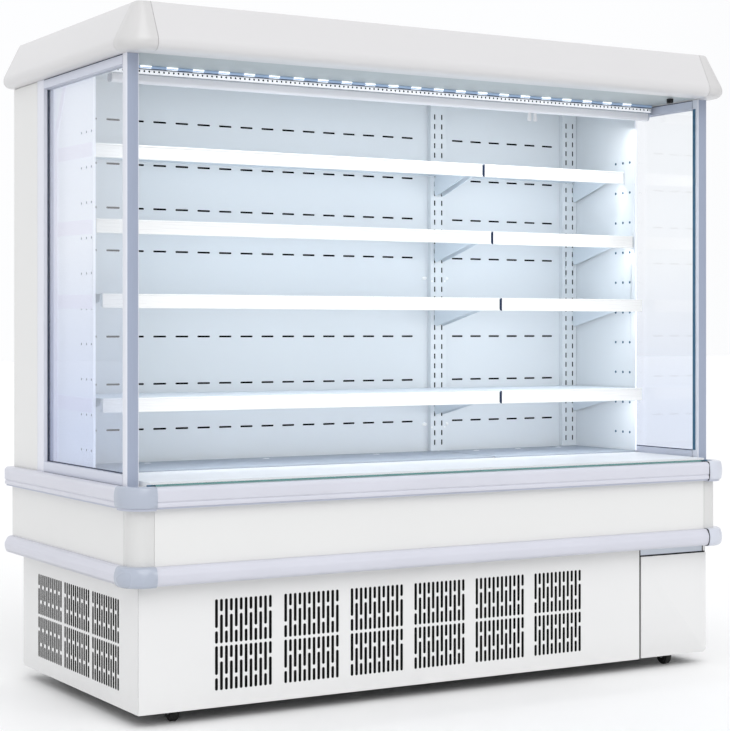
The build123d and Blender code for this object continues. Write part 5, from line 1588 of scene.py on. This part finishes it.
def pipeRun(bm, radius, points, bend, segments):
    # round pipe with swept elbows at every turn of its run
    points = [Vector(point) for point in points]
    ways = [(b - a).normalized() for a, b in zip(points, points[1:])]
    matrix = Matrix.Translation(points[0]) @ ways[0].to_track_quat("Z", "Y").to_matrix().to_4x4()
    circle = bmesh.ops.create_circle(bm, cap_ends=True, radius=radius, segments=segments,
                                     matrix=matrix)["verts"]
    face = next(f for f in circle[0].link_faces if set(f.verts) == set(circle))
    for index, way in enumerate(ways):
        run = (points[index + 1] - points[index]).length
        run -= bend * ((index > 0) + (index < len(ways) - 1))
        face = drawOut(bm, face, way * run)
        if index < len(ways) - 1:
            corner, onward = points[index + 1], ways[index + 1]
            cent = corner - way * bend + onward * bend
            turned = bmesh.ops.spin(bm, geom=[face] + face.edges[:] + face.verts[:], cent=cent,
                                    axis=way.cross(onward), angle=way.angle(onward), steps=8)
            face = firstFace(turned["geom_last"])


compressor = {
    "x": 170.0, "y": 45.0, "floor": 123.0, "shell": 85.0, "seam": 88.0, "terminal": 284.0, "footX": 102.0,
    "footY": 61.6, "feetX": 88, "feetY": 50, "stubLow": 326, "stubCollar": 340, "stubTop": 400,
}


def makeCompressor():
    x, y, z, r = compressor["x"], compressor["y"], compressor["floor"], compressor["shell"]
    bm = bmesh.new()
    spun(bm, [(0, 8), (58, 10), (76, 16), (r - 1, 27), (r, 40), (r, 91), (compressor["seam"], 93),
              (compressor["seam"], 99), (r, 101), (r, 140), (r - 6, 165), (r - 19, 185), (r - 42, 198),
              (18, 204), (0, 204.6)], (x, y, z), "Z", 48)
    blockOf(bm, (x - compressor["footX"], y - 22, z + 4), (x + compressor["footX"], y + 22, z + 9))
    blockOf(bm, (x - 60, y - compressor["footY"], z + 4), (x + 60, y + compressor["footY"], z + 9))
    finishPiece("compressorShell", bm, "black", "compressor", slot="compressor_black", edge=1.2)
    bm = bmesh.new()
    for dx in (-compressor["feetX"], compressor["feetX"]):
        barrel(bm, 13, (x + dx, y, z + 0.2), (x + dx, y, z + 3.8), 20)
        barrel(bm, 9, (x + dx, y, z + 9), (x + dx, y, z + 12), 20)
    for dy in (-compressor["feetY"], compressor["feetY"]):
        barrel(bm, 10, (x, y + dy, z + 0.2), (x, y + dy, z + 3.8), 20)
    finishPiece("compressorFeet", bm, "tyre", slot="compressor_black", edge=0.8)
    end = compressor["terminal"]
    cover = [((x + r - 6, y - 28, z + 60), (end - 6, y + 28, z + 120)),
             ((end - 6, y - 26, z + 62), (end, y + 26, z + 118))]
    blockPiece("terminalCover", cover, "terminal", slot="compressor_black", edge=3.0, segments=4)


coils = {
    "condenserLeft": -583.5, "condenserRight": -43.5, "front": -363.0, "rear": -285.0, "low": 123.0,
    "high": 363.0, "finPitch": 6.0, "pipe": 8.0, "pipeZ": 233.0, "evapSide": 750.0, "evapFront": 5.0,
    "evapRear": 245.0, "evapLow": 461.0, "evapHigh": 585.0, "evapPitch": 12.0,
}


def finBlock(bm, x0, x1, y0, y1, z0, z1, pitch, rows, columns, pipe):
    # thin fins on straight tubes, closed by end plates
    count = int((x1 - x0) / pitch)
    for index in range(count):
        x = x0 + (index + 0.5) * (x1 - x0) / count
        blockOf(bm, (x - 0.4, y0, z0), (x + 0.4, y1, z1))
    for x in (x0 - 3, x1):
        blockOf(bm, (x, y0, z0), (x + 3, y1, z1))
    for row in range(rows):
        z = z0 + (row + 0.5) * (z1 - z0) / rows
        for column in range(columns):
            y = y0 + (column + 0.5) * (y1 - y0) / columns
            barrel(bm, pipe, (x0 - 4, y, z), (x1 + 4, y, z), 10)


def returnBends(bm, x, way, y0, y1, z0, z1, rows, columns, pipe, offset):
    # half-turn bends that join neighbouring tubes outside an end plate
    rise = (z1 - z0) / rows
    for column in range(columns):
        y = y0 + (column + 0.5) * (y1 - y0) / columns
        for row in range(offset, rows - 1, 2):
            z = z0 + (row + 0.5) * rise
            reach = rise / 2
            pipeRun(bm, pipe, [(x, y, z), (x + way * reach, y, z), (x + way * reach, y, z + rise),
                               (x, y, z + rise)], reach * 0.98, 10)


def makeCoils():
    x0, x1 = coils["condenserLeft"], coils["condenserRight"]
    y0, y1, z0, z1 = coils["front"], coils["rear"], coils["low"], coils["high"]
    bm = bmesh.new()
    finBlock(bm, x0, x1, y0, y1, z0, z1, coils["finPitch"], 8, 3, 4.5)
    finishPiece("condenserFins", bm, "fins", "condenser_coil", slot="fin_aluminium", edge=0.0)
    bm = bmesh.new()
    returnBends(bm, x0 - 4, -1, y0, y1, z0, z1, 8, 3, 4.5, 0)
    pipe, z = coils["pipe"], coils["pipeZ"]
    px = x1 + 3 + pipe
    pipeRun(bm, pipe - 1, [(px - 9, y1 - 22, z), (px, y1 - 22, z), (px, compressor["y"], z),
                           (compressor["x"] - compressor["shell"] + 3, compressor["y"], z)], 8.5, 16)
    x, y, low = compressor["x"], compressor["y"], compressor["stubLow"]
    barrel(bm, pipe - 1, (x, y, low), (x, y, compressor["stubTop"]), 16)
    barrel(bm, pipe + 1, (x, y, low), (x, y, compressor["stubCollar"]), 16)
    finishPiece("copperPipes", bm, "copper", slot="fin_aluminium", edge=0.0, sharp=60)
    bm = bmesh.new()
    side = coils["evapSide"]
    finBlock(bm, -side, side, coils["evapFront"], coils["evapRear"], coils["evapLow"], coils["evapHigh"],
             coils["evapPitch"], 4, 6, 5.0)
    for x in (-side - 3, side):
        blockOf(bm, (x, coils["evapFront"], coils["evapLow"] - 6),
                (x + 3, coils["evapRear"], coils["evapLow"]))
    finishPiece("evaporatorFins", bm, "fins", "evaporator_coil", slot="fin_aluminium", edge=0.0)


smallFan = {"radius": 79.0, "hub": 22.0, "deep": 40.0, "blades": 4, "chord": 46.0, "way": -1}
largeFan = {"radius": 107.0, "hub": 38.0, "deep": 58.0, "blades": 5, "chord": 66.0, "way": 1}
fans = (
    ("condenser", "condenser_fan", (-313.5, -257.3, 243.0), largeFan),
    ("leftEvaporator", "evaporator_fan_left", (-410.0, -43.7, 553.0), smallFan),
    ("rightEvaporator", "evaporator_fan_right", (410.0, -43.7, 553.0), smallFan),
)


def makeFan(word, node, centre, facts):
    x, y, z = centre
    hub, deep, way = facts["hub"], facts["deep"], facts["way"]
    bm = bmesh.new()
    profile = [(0, 0), (hub * 0.68, 0), (hub * 0.9, deep * 0.05), (hub, deep * 0.15), (hub, deep * 0.7),
               (hub * 0.8, deep * 0.76), (hub * 0.8, deep), (0, deep)]
    spun(bm, [(radius, along * way) for radius, along in profile], (x, y, z), "Y", 40)
    finishPiece(f"{word}FanHub", bm, "black", node, body=node, slot="fan_black", edge=0.5)
    bm = bmesh.new()
    root, tip, step = hub * 0.97, facts["radius"], 2 * math.pi / facts["blades"]
    for index in range(facts["blades"]):
        blade = bmesh.ops.create_grid(bm, x_segments=8, y_segments=6, size=0.5)["verts"]
        for vert in blade:
            share, across = vert.co.x + 0.5, vert.co.y
            reach = root + (tip - root) * share
            chord = facts["chord"] * (0.72 + 0.4 * share) * (1 - 0.22 * share ** 6)
            pitch = math.radians(36 - 16 * share)
            turn = 0.3 * share + across * chord * math.cos(pitch) / reach + index * step
            rise = across * chord * math.sin(pitch) - 4.5 * (1 - 4 * across ** 2)
            vert.co = (x + reach * math.sin(turn), y + way * (deep * 0.3 + rise), z + reach * math.cos(turn))
    finishPiece(f"{word}FanBlades", bm, "black", body=node, slot="fan_black", edge=0.0, sharp=60, thick=1.8)


castor = {
    "sideX": 885.5, "places": ((-1, -353.0), (1, -353.0), (-1, 393.0), (1, 393.0)), "trail": 22.0,
    "wheel": 27.0, "width": 22.0, "outer": 14.5, "plate": 2.5, "crownLow": 70.7, "crownTop": 77.7,
    "disc": 18.2,
}


def makeCastor(number, side, y):
    x, trail = side * castor["sideX"], castor["trail"]
    outer, plate, r = castor["outer"], castor["plate"], castor["wheel"]
    low, high = castor["crownLow"], castor["crownTop"]
    bm = bmesh.new()
    leg = [(y + 13, low), (y - 17, low), (y - trail - 9, 30), (y - trail - 4.5, 19.8),
           (y - trail + 4.5, 19.8), (y - trail + 9, 27)]
    for inner in (outer - plate, -outer):
        bar(bm, leg, x + inner, x + inner + plate, {2: (3, 3), 3: (4, 4), 4: (4, 4), 5: (3, 3)})
    bar(bm, [(y + 13, low), (y + 13, high - 1), (y - 17, high - 1), (y - 17, low)], x - outer, x + outer,
        {1: (2, 2), 2: (2, 2)})
    spun(bm, [(5.05, high - 1), (14, high - 1), (14.4, high - 0.4), (14, high), (5.05, high)],
         (x, y, 0), "Z", 32)
    finishPiece(f"castorFork{number}", bm, "steel", f"castor_fork_{number}", body=f"castor_fork_{number}",
                slot="castor_steel", edge=0.5)
    bm = bmesh.new()
    for end in (-1, 1):
        barrel(bm, 5.2, (x + end * outer, y - trail, r), (x + end * (outer + 2.2), y - trail, r), 6)
    barrel(bm, 4.0, (x - outer, y - trail, r), (x + outer, y - trail, r), 24)
    finishPiece(f"castorAxle{number}", bm, "zinc", body=f"castor_fork_{number}",
                slot="castor_steel", edge=0.4)
    bm = bmesh.new()
    w = castor["width"] / 2
    spun(bm, [(4.05, -w), (8, -w), (8.6, -w + 2.6), (17, -w + 3.4), (18.6, -w + 1.2), (24.6, -w + 0.4),
              (r, -w + 3.4), (r, w - 3.4), (24.6, w - 0.4), (18.6, w - 1.2), (17, w - 3.4), (8.6, w - 2.6),
              (8, w), (4.05, w)], (x, y - trail, r), "X", 40)
    paintFaces(bm, 1, lambda middle: math.hypot(middle.y - y + trail, middle.z - r) < castor["disc"])
    finishPiece(f"castorWheel{number}", bm, ("tyre", "black"), f"castor_wheel_{number}",
                body=f"castor_wheel_{number}", slot="castor_tyre", edge=0.3, segments=1)


makeRearBody()
makeCompressor()
makeCoils()
for fan in fans:
    makeFan(*fan)
for number, (side, y) in enumerate(castor["places"], start=1):
    makeCastor(number, side, y)
keptMesh = (("base_frame", "chassis", 0.8), ("machine_tray", "zinc", 0.3), ("fan_shroud", "zinc", 0.4),
            ("drain_pan", "zinc", 0.6), ("electrical_box", "greyCoat", 1.2),
            ("evaporator_fan_plate", "zinc", 0.4))
for facts in keptMesh:
    dress(*facts)
print("body, machine and castors made")


def makeFloor():
    bm = bmesh.new()
    bmesh.ops.create_grid(bm, x_segments=1, y_segments=1, size=60)
    paint = Paint("paleFloor", (0.9, 0.9, 0.9), 0.6)
    paint.feed("Roughness", paint.span(paint.noise(3, 4), 0.3, 0.7, 0.55, 0.65))
    pieceOf("studioFloor", bm, [paint.material])


makeFloor()
